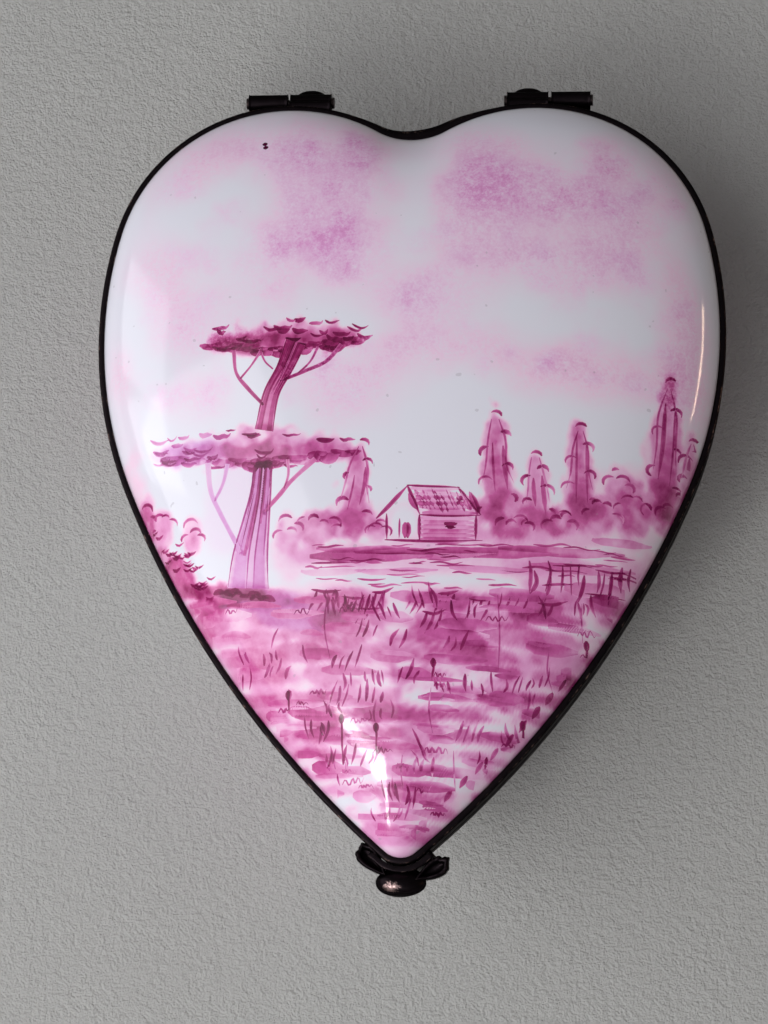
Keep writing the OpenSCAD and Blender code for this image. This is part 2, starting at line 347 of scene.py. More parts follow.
class Canvas:
    """Pigment over a rectangle of the glaze, and a record of the strokes that are drawn as a raised skin."""

    def __init__(self, low, high, cell, seed):
        self.low, self.cell = np.array(low, float), cell
        self.shape = tuple(np.ceil((np.array(high) - low) / cell).astype(int) + 1)
        self.pigment = np.zeros(self.shape)
        self.washes = np.zeros(self.shape)
        self.lilac = np.zeros(self.shape)
        self.grain = np.zeros(self.shape)
        self.strokes = {}
        self.rng = np.random.default_rng(seed)
        self.lattice = self.rng.random((64, 64))

    def pick(self, low, high, size=None):
        """One or more random numbers between two limits."""
        return self.rng.uniform(low, high, size)

    def near(self, value, spread):
        """A random number near a value."""
        return value + self.rng.uniform(-spread, spread)

    def window(self, low, high):
        """The cells inside a box, as slices and as the positions of their middles."""
        a = np.clip(np.floor((np.array(low) - self.low) / self.cell).astype(int), 0, self.shape)
        b = np.clip(np.ceil((np.array(high) - self.low) / self.cell).astype(int) + 1, 0, self.shape)
        x = self.low[0] + np.arange(a[0], b[0]) * self.cell
        y = self.low[1] + np.arange(a[1], b[1]) * self.cell
        return (slice(a[0], b[0]), slice(a[1], b[1])), np.meshgrid(x, y, indexing="ij")

    def noise(self, x, y, size):
        """Smooth noise from 0 to 1 whose largest lumps are about that size."""
        total, weight, amount = 0.0, 0.0, 1.0
        for octave in range(OCTAVES):
            u, v = x / size * 2**octave + 17.3 * octave, y / size * 2**octave + 9.1 * octave
            i, j = np.floor(u).astype(int), np.floor(v).astype(int)
            fu, fv = u - i, v - j
            fu, fv = fu * fu * (3 - 2 * fu), fv * fv * (3 - 2 * fv)
            corner = [self.lattice[(i + a) % 64, (j + b) % 64] for a in (0, 1) for b in (0, 1)]
            near = corner[0] * (1 - fv) + corner[1] * fv
            far = corner[2] * (1 - fv) + corner[3] * fv
            total = total + amount * (near * (1 - fu) + far * fu)
            weight, amount = weight + amount, amount * 0.5
        return total / weight

    def lay(self, layer, cells, mask, dark):
        """Adds pigment to a layer, less of it where there's plenty already."""
        layer[cells] += dark * mask * (1 - np.minimum(layer[cells], FULL) / FULL)

    def tint(self, cells, mask, lilac):
        """Pulls the hue towards lilac, by up to the mask."""
        self.lilac[cells] += (lilac - self.lilac[cells]) * np.clip(mask, 0, 1) * 0.7

    def patch(self, at, size, turn, ragged, lump):
        """The cells round an oval with a ragged edge, and how deep inside it each of them is, up to 1."""
        reach = max(size) * (1 + ragged) + 0.5
        cells, (x, y) = self.window(np.array(at) - reach, np.array(at) + reach)
        c, s = math.cos(math.radians(turn)), math.sin(math.radians(turn))
        u, v = (x - at[0]) * c + (y - at[1]) * s, (y - at[1]) * c - (x - at[0]) * s
        return cells, 1 - np.hypot(u / size[0], v / size[1]) + ragged * (self.noise(x, y, lump) - 0.5) * 2

    def wash(self, at, size, dark, lilac, turn=0.0, soft=0.5, ragged=0.5, lump=3.0, grain=0.0, wet=0.0):
        """A patch of thin colour: an oval with a ragged, soft edge, and a darker rim where it was wet."""
        cells, depth = self.patch(at, size, turn, ragged, lump)
        mask = smooth_step(0, soft, depth)
        rim = wet * np.exp(-(((depth - soft * 0.6) / 0.12) ** 2))
        self.lay(self.pigment, cells, mask * (1 + rim), dark)
        self.lay(self.washes, cells, mask * (1 + rim), dark)
        self.tint(cells, mask, lilac)
        self.grain[cells] = np.maximum(self.grain[cells], grain * mask)

    def wipe(self, at, size, amount, turn=0.0, soft=0.5, ragged=0.5, lump=3.0):
        """Takes a share of the pigment off a patch again, so that the white shows."""
        cells, depth = self.patch(at, size, turn, ragged, lump)
        mask = smooth_step(0, soft, depth) * amount
        self.pigment[cells] *= 1 - mask
        self.washes[cells] *= 1 - mask

    def stroke(self, points, width, dark, lilac, group, fade=0.35, belly=0.35):
        """One brush stroke along a smooth path, with the most pigment where it starts.

        Its width is one number, for a stroke that's thin at both ends, or a list that gives it along the
        path.
        It goes on the canvas and becomes one strip of a group's raised skin, with the canvas's values there.
        """
        path = smooth_path(np.asarray(points, float), STROKE_STEP)
        t = np.linspace(0, 1, len(path))
        if np.ndim(width):
            half = np.interp(t, np.linspace(0, 1, len(width)), width) / 2
        else:
            ends = np.minimum(1, 0.42 + 3.2 * t) * np.minimum(1, 0.25 + 2.4 * (1 - t))
            taper = ends * (1 + belly * np.sin(math.pi * t))
            half = width / 2 * taper
        half = half * (1 + 0.22 * (self.noise(path[:, 0] + 31 * half, path[:, 1], 0.9) - 0.5))
        amount = dark * (1.08 - fade * t + 0.25 * np.exp(-((1 - t) ** 2) / 0.004))
        reach = half.max() * 1.6 + self.cell * 2
        cells, (x, y) = self.window(path.min(0) - reach, path.max(0) + reach)
        if x.size == 0:
            return
        mask, load = stroke_mask(x, y, path, half, amount)
        self.lay(self.pigment, cells, mask * load, 1.0)
        self.tint(cells, mask, lilac)
        across = np.gradient(path, axis=0)[:, ::-1] * [-1, 1]
        across /= np.linalg.norm(across, axis=1)[:, None] + 1e-9
        columns = path[:, None] + across[:, None] * (half[:, None] * STRIP_COLUMNS)[:, :, None]
        layers = (self.pigment, self.lilac, self.grain)
        values = [self.sample(layer, columns.reshape(-1, 2)) for layer in layers]
        self.strokes.setdefault(group, []).append((columns, values))

    def sample(self, layer, xy):
        """A layer's value at each point, between its cells."""
        place = (np.asarray(xy) - self.low) / self.cell
        place = np.clip(place, 0, np.array(self.shape) - 1.001)
        i, j = place.astype(int).T
        fu, fv = (place - place.astype(int)).T
        near = layer[i, j] * (1 - fv) + layer[i, j + 1] * fv
        far = layer[i + 1, j] * (1 - fv) + layer[i + 1, j + 1] * fv
        return near * (1 - fu) + far * fu


def smooth_step(a, b, x):
    """0 below a, 1 above b and a smooth rise between them."""
    t = np.clip((x - a) / (b - a), 0, 1)
    return t * t * (3 - 2 * t)


def smooth_path(points, step):
    """A smooth curve through the points, resampled at even steps."""
    padded = np.vstack([2 * points[0] - points[1], points, 2 * points[-1] - points[-2]])
    pieces = []
    for a, b, c, d in zip(padded[:-3], padded[1:-2], padded[2:-1], padded[3:]):
        t = np.linspace(0, 1, 12, endpoint=False)[:, None]
        pieces.append(
            0.5 * (2 * b + (c - a) * t + (2 * a - 5 * b + 4 * c - d) * t**2 + (3 * b - a - 3 * c + d) * t**3)
        )
    fine = np.vstack([*pieces, points[-1:]])
    length = np.concatenate([[0], np.cumsum(np.linalg.norm(np.diff(fine, axis=0), axis=1))])
    even = np.linspace(0, length[-1], max(5, int(length[-1] / step) + 1))
    return np.column_stack([np.interp(even, length, fine[:, 0]), np.interp(even, length, fine[:, 1])])


def stroke_mask(x, y, path, half, amount):
    """How much of a stroke covers each cell, and its load of pigment there."""
    best = np.full(x.shape, 1e9)
    load = np.zeros(x.shape)
    for k in range(len(path) - 1):
        a, ab = path[k], path[k + 1] - path[k]
        t = np.clip(((x - a[0]) * ab[0] + (y - a[1]) * ab[1]) / (ab @ ab + 1e-12), 0, 1)
        width = half[k] + (half[k + 1] - half[k]) * t
        distance = np.hypot(x - a[0] - ab[0] * t, y - a[1] - ab[1] * t) / width
        closer = distance < best
        best = np.where(closer, distance, best)
        load = np.where(closer, amount[k] + (amount[k + 1] - amount[k]) * t, load)
    soft = 0.05 / max(half.mean(), 0.05)
    mask = 1 - smooth_step(1 - soft * 1.2, 1 + soft * 0.8, best)
    return mask, load * (0.86 + 0.2 * np.minimum(best, 1) ** 3)


def paint_sky(c):
    """Sponged clouds and small fainter puffs, with light wiped out of them and one dark fleck."""
    clouds = [  # middle, half sizes, turn, darkness, lilac
        ((-11, 30), (13, 5.4), -8, 0.40, 0.55),
        ((-9, 25), (9.5, 8.0), -48, 0.44, 0.66),
        ((-4.5, 18.5), (9.0, 6.5), -25, 0.40, 0.70),
        ((-13, 20), (7, 5.5), 0, 0.22, 0.50),
        ((-20, 28.5), (7, 4.6), 25, 0.28, 0.25),
        ((-23, 18), (5.5, 8.0), 20, 0.28, 0.25),
        ((-20, 12), (8, 5.5), 0, 0.24, 0.45),
        ((-27, 9), (3.0, 9.0), 8, 0.30, 0.05),
        ((14, 26.5), (13.5, 6.2), -10, 0.32, 0.55),
        ((7, 23.5), (8, 6.0), 35, 0.40, 0.50),
        ((20, 22.5), (8.5, 7.4), -42, 0.36, 0.45),
        ((26.0, 14), (3.2, 13), 6, 0.44, 0.30),
        ((15, 18.5), (11, 4.0), 0, 0.26, 0.45),
        ((2.5, 15.5), (8, 5.5), 0, 0.32, 0.62),
        ((15, 8.4), (12, 3.6), 0, 0.44, 0.28),
        ((5, 10.0), (11, 3.4), 0, 0.34, 0.40),
        ((-5, 7.4), (7.5, 4.6), 0, 0.32, 0.50),
        ((-19, 6.5), (6.5, 3.6), 0, 0.28, 0.40),
        ((10, 31.5), (10, 3.0), -4, 0.28, 0.35),
        ((-6, 24), (4.5, 7.5), -20, 0.34, 0.60),
        ((7.5, 28), (6, 4.4), 35, 0.20, 0.50),
        ((20, 29), (7, 4.0), -24, 0.26, 0.40),
    ]
    for at, size, turn, dark, lilac in clouds:
        c.wash(at, np.array(size) * 1.12, dark * 0.92, lilac, turn, soft=0.95, lump=6.5, grain=0.9)
    for _ in range(120):
        at = c.pick((-24, 5), (26, 32))
        c.wash(at, c.pick(0.8, 2.6, 2), c.pick(0.04, 0.12), 0.5, soft=1.0, ragged=0.9, lump=1.8, grain=0.8)
    gaps = [((1.0, 26), (3.2, 7)), ((-23, 24.5), (4, 2.4)), ((15, 13.4), (9, 2.0)), ((-17, 22), (4.0, 3.0))]
    for at, size in gaps:
        c.wipe(at, size, 0.75, soft=0.9, lump=4.0)
    for x, y in ((-13.9, 31.9), (-13.8, 31.5)):
        c.stroke([(x, y), (x + 0.05, y - 0.4)], 0.4, 9.0, 1.0, "foliage", fade=0.0)


def hook(c, at, size, turn, dark, lilac, thick, open_by):
    """A crescent of leaf outline that starts with a blob."""
    angles = np.radians(turn + np.linspace(-open_by, open_by, 5))
    points = np.array(at) + size * np.column_stack([np.cos(angles), 0.85 * np.sin(angles)])
    if c.rng.random() < 0.5:
        points = points[::-1]
    c.stroke(points, thick, dark, lilac, "trees", fade=0.6)


def pine_crown(c, at, half_w, half_h, dark, lilac, window_reflection=0.0):
    """A flat-topped pine crown: lumps of wash, shadow strokes underneath and curled strokes over the top."""
    x0, y0 = at

    def pale(t):
        """How pale and lilac the crown is at t, which runs from -1 at its left end to 1: a painted reflection
        of the left window.
        """
        return window_reflection * smooth_step(0.1, 0.6, -t)

    for k in range(9):
        t = -1 + 2 * (k + 0.5) / 9
        middle = (x0 + t * half_w * 0.9, c.near(y0, 0.15))
        size = (half_w * 0.16, half_h * (0.75 - 0.3 * t * t))
        c.wash(middle, size, dark * 0.5, lilac + pale(t), soft=0.25, ragged=0.6, lump=1.3, wet=0.2)
    for k in range(30):
        t = -1 + 2 * (k + 0.5) / 30 + c.pick(-0.03, 0.03)
        thick = half_h * c.pick(0.45, 1.0) * (1 - 0.5 * abs(t) ** 3)
        middle = (x0 + t * half_w * 0.95, c.near(y0 + 0.12 * half_h * (1 - 2 * t * t), 0.3))
        size = (half_w * c.pick(0.06, 0.14), thick)
        amount = dark * (1 - 0.45 * pale(t)) * c.pick(0.2, 0.6)
        c.wash(middle, size, amount, lilac + pale(t), c.near(0, 25), soft=0.3, ragged=0.6, lump=1.0, wet=0.2)
    for k in range(7):
        x = x0 + (-0.75 + 0.2 * k) * half_w
        middle = (x, c.near(y0 + 0.5 * half_h, 0.3))
        c.wipe(middle, (half_w * 0.12, half_h * 0.3), 0.45, c.near(0, 15), soft=0.4, ragged=0.6, lump=1.0)
    for k in range(17):
        t = c.near(-0.9 + 0.113 * k, 0.06)
        x, y = x0 + t * half_w, y0 - half_h * (0.55 - 0.35 * abs(t)) + c.pick(-0.25, 0.25)
        w = c.pick(0.7, 1.5)
        points = [(x - w, y + c.pick(0, 0.3)), (x, y - 0.15), (x + w, y + c.pick(0, 0.3))]
        width, amount = c.pick(0.35, 0.85), dark * c.pick(0.7, 1.5) * (1 - 0.5 * pale(t))
        c.stroke(points, width, amount, lilac + 0.6 * pale(t), "foliage")
    for k in range(30):
        t = c.pick(-1.03, 1.03)
        v = c.pick(-0.75, 1.05) * (1 - 0.45 * t * t)
        x, y = x0 + t * half_w, y0 + v * half_h
        w = c.pick(0.4, 1.0)
        points = [
            (x - w, y + c.pick(-0.05, 0.3)),
            (x - 0.4 * w, y - c.pick(0, 0.15)),
            (x + 0.2 * w, y - c.pick(-0.05, 0.2)),
            (x + 0.7 * w, y + c.pick(-0.1, 0.1)),
            (x + w, y + c.pick(-0.1, 0.3)),
        ]
        width, amount = c.pick(0.16, 0.4), c.pick(2.2, 4.4) * (1 - 0.6 * pale(t))
        c.stroke(points, width, amount, lilac + 0.5 * pale(t), "foliage", fade=0.5)


def trunk(c, middle, widths, dark, lilac, bark, top_dark):
    """A trunk along a path from its top: a solid body, dark at the top, with outlines and lines of bark."""
    middle, widths = np.array(middle, float), np.array(widths)
    across = np.gradient(middle, axis=0)[:, ::-1] * [1, -1]
    across /= np.linalg.norm(across, axis=1)[:, None]
    across *= widths[:, None]
    c.stroke(middle, widths, dark, lilac, "pine", fade=0.55)
    for side in (-0.27, 0.24):
        c.stroke(middle + across * side, widths * 0.36, dark * c.pick(0.3, 0.7), lilac, "pine", fade=0.4)
    for side, stop in ((0.18, 4), (-0.2, 3), (0.02, 3)):
        narrower = widths[:stop] * [0.75, 0.65, 0.45, 0.12][-stop:]
        c.stroke((middle + across * side)[:stop], narrower, top_dark, lilac * 0.3, "pine", fade=0.75)
    for side in (-0.5, 0.5):
        c.stroke(middle + across * side, 0.15, dark + 1.3, lilac * 0.6, "pine", fade=0.2)
    for k in range(bark):
        path = middle + across * c.near((k + 0.5) / bark - 0.5, 0.06) * 0.9
        stop = len(path) - c.rng.integers(0, 2)
        part = path[c.rng.integers(0, 2) : stop]
        c.stroke(part, c.pick(0.1, 0.2), dark + c.pick(0.5, 1.3), lilac * 0.7, "pine")


def paint_pine(c):
    """A stone pine with two storeys of crown on the left."""
    # The lilac of this faint wash, of the left low branches and of the lower trunk is a painted reflection of
    # the left window.
    c.wash((-15.5, -4.5), (3.4, 6.0), 0.16, 0.9, ragged=0.4)
    low_branches = [
        ([(-14.7, -8.6), (-16.7, -5.0), (-17.7, -2.8), (-18.0, -0.2)], [0.5, 0.4, 0.45, 0.6], 0.9, 1.0),
        ([(-17.3, -3.8), (-16.5, -2.2), (-16.1, -0.4)], [0.3, 0.3, 0.45], 1.0, 0.9),
        ([(-12.5, -5.0), (-11.2, -3.6), (-10.0, -2.2), (-7.8, -0.2)], [0.35, 0.45, 0.4, 0.5], 2.0, 0.15),
        ([(-10.7, -3.0), (-10.3, -1.6), (-10.4, -0.2)], [0.2, 0.25, 0.35], 2.0, 0.15),
    ]
    for points, width, dark, lilac in low_branches:
        c.stroke(points, width, dark, lilac, "pine")
    low_trunk = [(-12.7, -0.9), (-12.9, -3.4), (-13.3, -6.0), (-13.8, -9.0), (-14.0, -11.9)]
    trunk(c, low_trunk, [1.7, 1.9, 2.5, 3.3, 3.9], 1.05, 0.8, bark=5, top_dark=1.9)
    # The lower crown's paler, lilac left end is a painted reflection of the left window.
    pine_crown(c, (-13.4, 0.8), 9.8, 2.25, 1.2, 0.22, window_reflection=0.78)
    top_trunk = [(-9.9, 10.9), (-10.9, 8.4), (-12.1, 6.0), (-12.7, 2.6)]
    trunk(c, top_trunk, [1.9, 1.45, 1.4, 1.7], 2.1, 0.06, bark=3, top_dark=1.7)
    for k in range(7):
        x, y = -14.0 + 0.42 * k, c.near(-0.75, 0.2)
        points = [(x - 0.7, y + 0.2), (x, y - 0.1), (x + 0.8, y + 0.2)]
        c.stroke(points, c.pick(0.4, 0.8), c.pick(1.2, 2.2), 0.2, "pine")
    top_branches = [
        ([(-12.8, 5.0), (-14.3, 6.6), (-15.5, 8.2), (-15.8, 10.4)], [0.3, 0.4, 0.3, 0.4]),
        ([(-15.1, 7.6), (-14.1, 8.8), (-13.2, 10.2)], [0.2, 0.2, 0.3]),
        ([(-11.3, 7.2), (-9.0, 8.1), (-7.0, 9.0), (-5.6, 10.6)], [0.3, 0.35, 0.35, 0.4]),
        ([(-9.6, 7.9), (-8.5, 9.0), (-7.8, 10.4)], [0.2, 0.2, 0.3]),
        ([(-12.0, 8.4), (-12.8, 9.2), (-13.3, 10.4)], [0.15, 0.2, 0.25]),
    ]
    for points, width in top_branches:
        c.stroke(points, width, 2.9, 0.1, "pine")
    pine_crown(c, (-11.0, 11.3), 7.4, 1.95, 1.6, 0.06)
    c.wash((-14.6, -12.2), (3.2, 0.9), 1.7, 0.0, -8, soft=0.3, ragged=0.6, lump=1.0, wet=0.5)
    for k in range(9):
        x, y = -17.2 + 0.6 * k + c.near(0, 0.2), -11.9 - 0.12 * k
        points = [(x, c.near(y - 0.2, 0.2)), (x + 0.5, c.near(y, 0.2)), (x + 1.2, y - 0.3)]
        c.stroke(points, c.pick(0.25, 0.5), c.pick(1.6, 2.8), 0.0, "pine")


def tall_tree(c, x, foot, top, width, dark, lean=0.0):
    """A cypress-like tree: a leaning column of foliage on a wide skirt, with hooks and upright lines."""
    lilac, height = 0.2, top - foot

    def at(t, side=0.0):
        """The place at a share of the height, that many widths beside the middle."""
        return x + lean * t + side * width, foot + t * height

    turn = -math.degrees(lean / height)
    column, skirt = (width * 0.5, height * 0.56), (width * 0.7, height * 0.3)
    middle = (x + lean * 0.5, foot + 0.46 * height)
    c.wash(middle, column, dark * 0.62, lilac, turn, 0.12, 0.45, 1.4, wet=0.25)
    c.wash((x + lean * 0.2, foot + 0.3 * height), skirt, dark * 0.3, lilac, 0, 0.14, 0.55, 1.2, wet=0.2)
    for k in range(9):
        t = (k + 0.5) / 9
        spread = width * (0.55 * (1 - t) ** 1.2 + 0.22)
        middle = (x + lean * t + c.pick(-0.3, 0.3) * width * (1 - t), foot + t * height)
        size = (spread * 0.8, height * c.pick(0.07, 0.15))
        c.wash(middle, size, dark * c.pick(0.15, 0.5), lilac, c.near(0, 30), 0.2, 0.6, 1.0, wet=0.15)
    base, size = (x, foot + 0.12 * height), (width * 0.95, height * 0.17)
    c.wash(base, size, dark * 0.55, lilac, 0, 0.16, 0.6, 1.2, wet=0.2)
    for side in (-0.12, 0.24):
        low_t, high_t = c.pick(0.15, 0.35), c.pick(0.6, 0.85)
        points = [at(high_t, side), at(0.5, 1.1 * side), (x + side * 1.2 * width, foot + low_t * height)]
        c.stroke(points, c.pick(0.14, 0.34), dark + c.pick(0.3, 1.2), lilac, "trees", fade=0.5)
    for side in (-1, 1):
        outline_at = ((0.92, 0.1), (0.72, 0.33), (0.5, 0.4), (0.32, 0.5))
        points = [
            (x + lean * t + side * width * c.near(reach, 0.07), foot + t * height) for t, reach in outline_at
        ]
        c.stroke(points, c.pick(0.13, 0.22), dark + c.pick(0.2, 1.0), lilac, "trees", fade=0.5)
    hook(c, (x + lean + 0.1, top - 0.5), 0.55, c.near(80, 30), 3.4, 0.1, 0.26, 70)
    for k in range(6):
        t = 0.04 + 0.14 * k
        side = 1 if k % 2 else -1
        spread = width * (0.5 * (1 - t) ** 1.3 + 0.36)
        middle = (x + lean * t + side * spread * 0.62, foot + t * height)
        size, turn = c.pick(0.4, 0.8), 90 - side * c.pick(10, 75)
        hook(c, middle, size, turn, c.pick(2.0, 3.8), lilac, c.pick(0.18, 0.32), c.pick(45, 95))


def bush(c, x, y, w, h, dark, lilac):
    """A low bush: a core wash with lumps of different strengths round it, and crescents over them."""
    middle, size = np.array((x, y + h * 0.42)), np.array((w * 0.8, h * 0.54))
    dark = dark * 0.95
    c.wash(middle, size * 0.95, dark * 0.8, lilac, soft=0.14, lump=1.5, wet=0.15)
    for _ in range(5):
        way = c.pick(-1, 1, 2) * size * np.array([0.8, 0.75])
        lump, amount = size * c.pick(0.28, 0.5), dark * c.pick(0.25, 0.7)
        c.wash(middle + way, lump, amount, lilac, soft=0.2, lump=1.1, wet=0.15)
    curls = 4
    for k in range(curls):
        t = (k + 0.5) / curls * 2 - 1
        place = (x + t * w * 0.7, y + h * (0.7 - 0.4 * t * t) * c.pick(0.6, 1.1))
        size = c.pick(0.4, 0.75)
        hook(c, place, size, 90 - 60 * t, c.pick(1.7, 3.3), lilac, c.pick(0.15, 0.28), c.pick(50, 90))


def paint_tree_line(c):
    """Tall trees and bushes behind the meadow."""
    for at, size, dark, lilac, turn, soft, lump in (
        ((6, -6.0), (16, 2.4), 0.3, 0.3, 0, 0.6, 3.0),
        ((20.5, -3.6), (6.0, 4.6), 0.42, 0.15, 0, 0.6, 2.5),
        ((13.5, -7.2), (9.0, 1.4), 0.6, 0.2, 0, 0.5, 1.8),
        ((-6.0, -9.0), (5.0, 1.2), 0.6, 0.2, 0, 0.5, 1.8),
        ((-9.5, -8.8), (3.0, 3.0), 0.4, 0.3, 0, 0.5, 2.0),
        ((-24.8, -4.5), (2.2, 7.0), 0.45, 0.0, 8, 0.6, 2.5),
    ):
        c.wash(at, size, dark, lilac, turn, soft, lump=lump)
    for x, foot, top, width, dark, lean in (
        (-4.4, -7.2, 1.6, 2.6, 1.15, 0.9), (9.1, -5.6, 4.3, 2.6, 1.3, -0.5),
        (12.7, -6.4, 0.6, 2.2, 0.9, -0.4), (16.4, -5.6, 3.4, 2.4, 1.2, 0.0),
        (23.9, -4.6, 8.3, 2.5, 1.25, 0.8), (26.4, -2.6, 3.0, 1.5, 0.8, 0.4),
    ):
        tall_tree(c, x, foot, top, width, dark, lean)
    for x, y, w, h, dark in (
        (-7.4, -8.0, 2.6, 3.8, 1.0), (-10.2, -8.6, 1.5, 3.8, 0.5), (-1.9, -7.7, 1.2, 1.8, 0.7),
        (10.6, -7.4, 2.2, 2.4, 0.95), (14.6, -7.0, 2.0, 2.6, 0.8), (18.4, -6.4, 2.4, 3.6, 0.85),
        (21.2, -6.2, 2.2, 4.4, 0.95), (20.0, -3.6, 1.6, 3.6, 0.5), (24.8, -5.4, 1.6, 2.4, 0.8),
        (-19.4, -8.2, 1.3, 3.2, 0.7), (-22.6, -7.4, 1.8, 3.6, 0.8), (-24.6, -7.2, 1.4, 4.6, 1.0),
    ):
        bush(c, x, y, w, h, dark, lilac=0.1 if x < -16 else 0.22)
    for at, size, dark, turn in (
        ((-20.6, -10.3), (3.4, 1.4), 1.6, -32),
        ((-23.0, -8.2), (1.8, 1.3), 0.9, -30),
        ((-17.6, -12.2), (3.0, 0.9), 1.2, -26),
    ):
        c.wash(at, size, dark, 0.0, turn, soft=0.35, ragged=0.6, lump=1.2, wet=0.5)
    for _ in range(38):
        x = c.pick(-24.4, -17.4)
        y = -6.4 - (x + 24.4) * 0.72 + c.pick(-1.5, 1.5)
        points = [(x - 0.4, y + 0.14), (x, y - 0.1), (x + 0.5, y + 0.16)]
        c.stroke(points, c.pick(0.14, 0.26), c.pick(2.2, 3.8), 0.0, "foliage")


def paint_cottage(c):
    """A small gabled cottage with a hatched roof, a door and a window."""
    eave, foot, ridge = -5.45, -7.75, -2.85
    left, gable, right = -1.1, 1.85, 7.0
    peak = 0.75
    c.wipe((0.5, -6.1), (1.3, 1.5), 0.9, soft=0.2, ragged=0.1)
    for k in range(6):
        y = eave - 0.3 - k * (eave - foot - 0.35) / 5
        points = [(gable + 0.1, y), ((gable + right) / 2, c.near(y, 0.1)), (right - 0.1, y)]
        c.stroke(points, 0.62, 0.7 + 0.1 * k, 0.2, "cottage")
    for k in range(5):
        t = k / 4
        y = eave + 0.18 + t * (ridge - eave - 0.35)
        points = [(gable - t * (gable - peak) + 0.25, y), (right + 0.15 - 1.6 * t, y)]
        c.stroke(points, 0.5, 0.8 + 0.5 * (1 - t), 0.25, "cottage")
    for k in range(15):
        low_y, high_y = c.near(eave + 0.4, 0.25), c.near(ridge - 0.45, 0.3)
        x = c.near(gable - 0.6 + 0.42 * k, 0.2)
        points = [(x + 0.35, low_y), (c.near(x, 0.15), (low_y + high_y) / 2), (x - 0.45, high_y)]
        c.stroke(points, c.pick(0.14, 0.5), c.pick(1.0, 2.8), 0.2, "cottage")
    outlines = [
        ([(left - 1.0, eave - 0.35), (left + 0.1, eave + 0.75), (peak + 0.05, ridge + 0.15)], 0.26),
        ([(peak - 0.05, ridge + 0.15), (gable + 0.05, eave)], 0.24),
        ([(peak, ridge + 0.12), (2.8, ridge - 0.02), (right - 1.5, ridge - 0.05)], 0.22),
        ([(right - 1.7, ridge), (right - 0.7, (ridge + eave) / 2 + 0.05), (right + 0.45, eave + 0.05)], 0.24),
        ([(gable, eave), (4.4, eave - 0.1), (right + 0.4, eave + 0.02)], 0.2),
        ([(left - 0.05, eave + 0.1), (left, foot)], 0.17),
        ([(gable, eave), (gable + 0.03, foot - 0.1)], 0.24),
        ([(right, eave), (right - 0.02, foot)], 0.2),
        ([(left - 0.2, foot), (2.5, foot - 0.1), (right + 0.6, foot + 0.02)], 0.2),
        ([(0.05, eave - 0.35), (0.02, foot + 0.1)], 0.13),
    ]
    for points, width in outlines:
        c.stroke(points, width * 1.1, 3.1, 0.15, "cottage", fade=0.25)
    for x in (0.55, 0.8):
        c.stroke([(x, -6.15), (x + 0.02, -6.9), (x, -7.6)], 0.45, 2.4, 0.05, "cottage", fade=0.2)
    for points, width, dark, lilac in (
        ([(4.1, -6.25), (5.3, -6.2)], 0.66, 2.4, 0.1),
        ([(4.2, -6.55), (5.2, -6.55)], 0.4, 2.8, 0.1),
        ([(5.7, -3.7), (5.3, -4.5)], 0.6, 1.9, 0.2),
    ):
        c.stroke(points, width, dark, lilac, "cottage", fade=0.1)


def meadow_half_width(y):
    """How far the meadow reaches each side of the middle at height y."""
    return float(np.interp(y, [-34.8, -32, -26, -18, -10, -6], [0.8, 4.0, 11.0, 19.0, 24.8, 27.0]))


def side_hue(x):
    """The meadow's hue: pure rose at the left, duller at the right."""
    return float(np.interp(x, [-20, -7, 4, 20], [0.0, 0.1, 0.3, 0.28]))


def side_dark(x):
    """The meadow's strength: it darkens towards the right."""
    return float(np.interp(x, [-20, -4, 20], [0.66, 1.15, 1.4]))


def paint_far_bank(c):
    """The dark bank beyond the cottage, the pale pool in front of it and its ripples."""
    c.wash((4, -9.4), (16, 1.7), 0.5, 0.3, ragged=0.4, lump=2.5)
    c.wash((21.5, -10.2), (3.6, 3.4), 0.6, 0.2, lump=2.0)
    c.wash((16, -10.5), (7.0, 2.4), 0.6, 0.3, lump=2.5)
    bands = [  # from x, to x, y, width, darkness
        (-8.2, 3.0, -9.3, 0.95, 1.5), (-4.0, 9.0, -9.0, 0.8, 1.3), (2.0, 14.5, -8.9, 0.9, 1.5),
        (9.0, 20.5, -8.5, 0.8, 1.2), (-7.6, 1.0, -8.6, 0.5, 0.9), (12.0, 21.5, -9.9, 0.8, 0.8),
        (-3.8, 3.6, -10.6, 0.55, 0.7), (4.6, 12.0, -10.3, 0.6, 0.7), (15.0, 21.6, -11.8, 1.2, 0.9),
        (17.5, 23.0, -7.3, 0.7, 0.8), (-9.0, -3.0, -10.6, 0.6, 0.5),
    ]
    for x0, x1, y, width, dark in bands:
        middle = (x0 + x1) / 2
        points = [(x0, y + 0.1), (middle - 2, c.near(y, 0.12)), (middle + 2, c.near(y, 0.12)), (x1, y + 0.15)]
        c.stroke(points, width, dark, 0.2, "meadow", fade=0.3, belly=0.15)
    c.wipe((1.0, -11.4), (5.5, 0.7), 0.6, ragged=0.4)
    for _ in range(56):
        x, y = c.pick(-9.0, 19.5), c.pick(-12.2, -7.9)
        length = c.pick(1.2, 3.8)
        steps = ((0.35, 0.14), (0.7, 0.14), (1.0, 0.1))
        points = [(x, y)] + [(x + length * t, c.near(y, spread)) for t, spread in steps]
        c.stroke(points, c.pick(0.12, 0.22), c.pick(1.7, 3.2), 0.15, "meadow", belly=0.1)


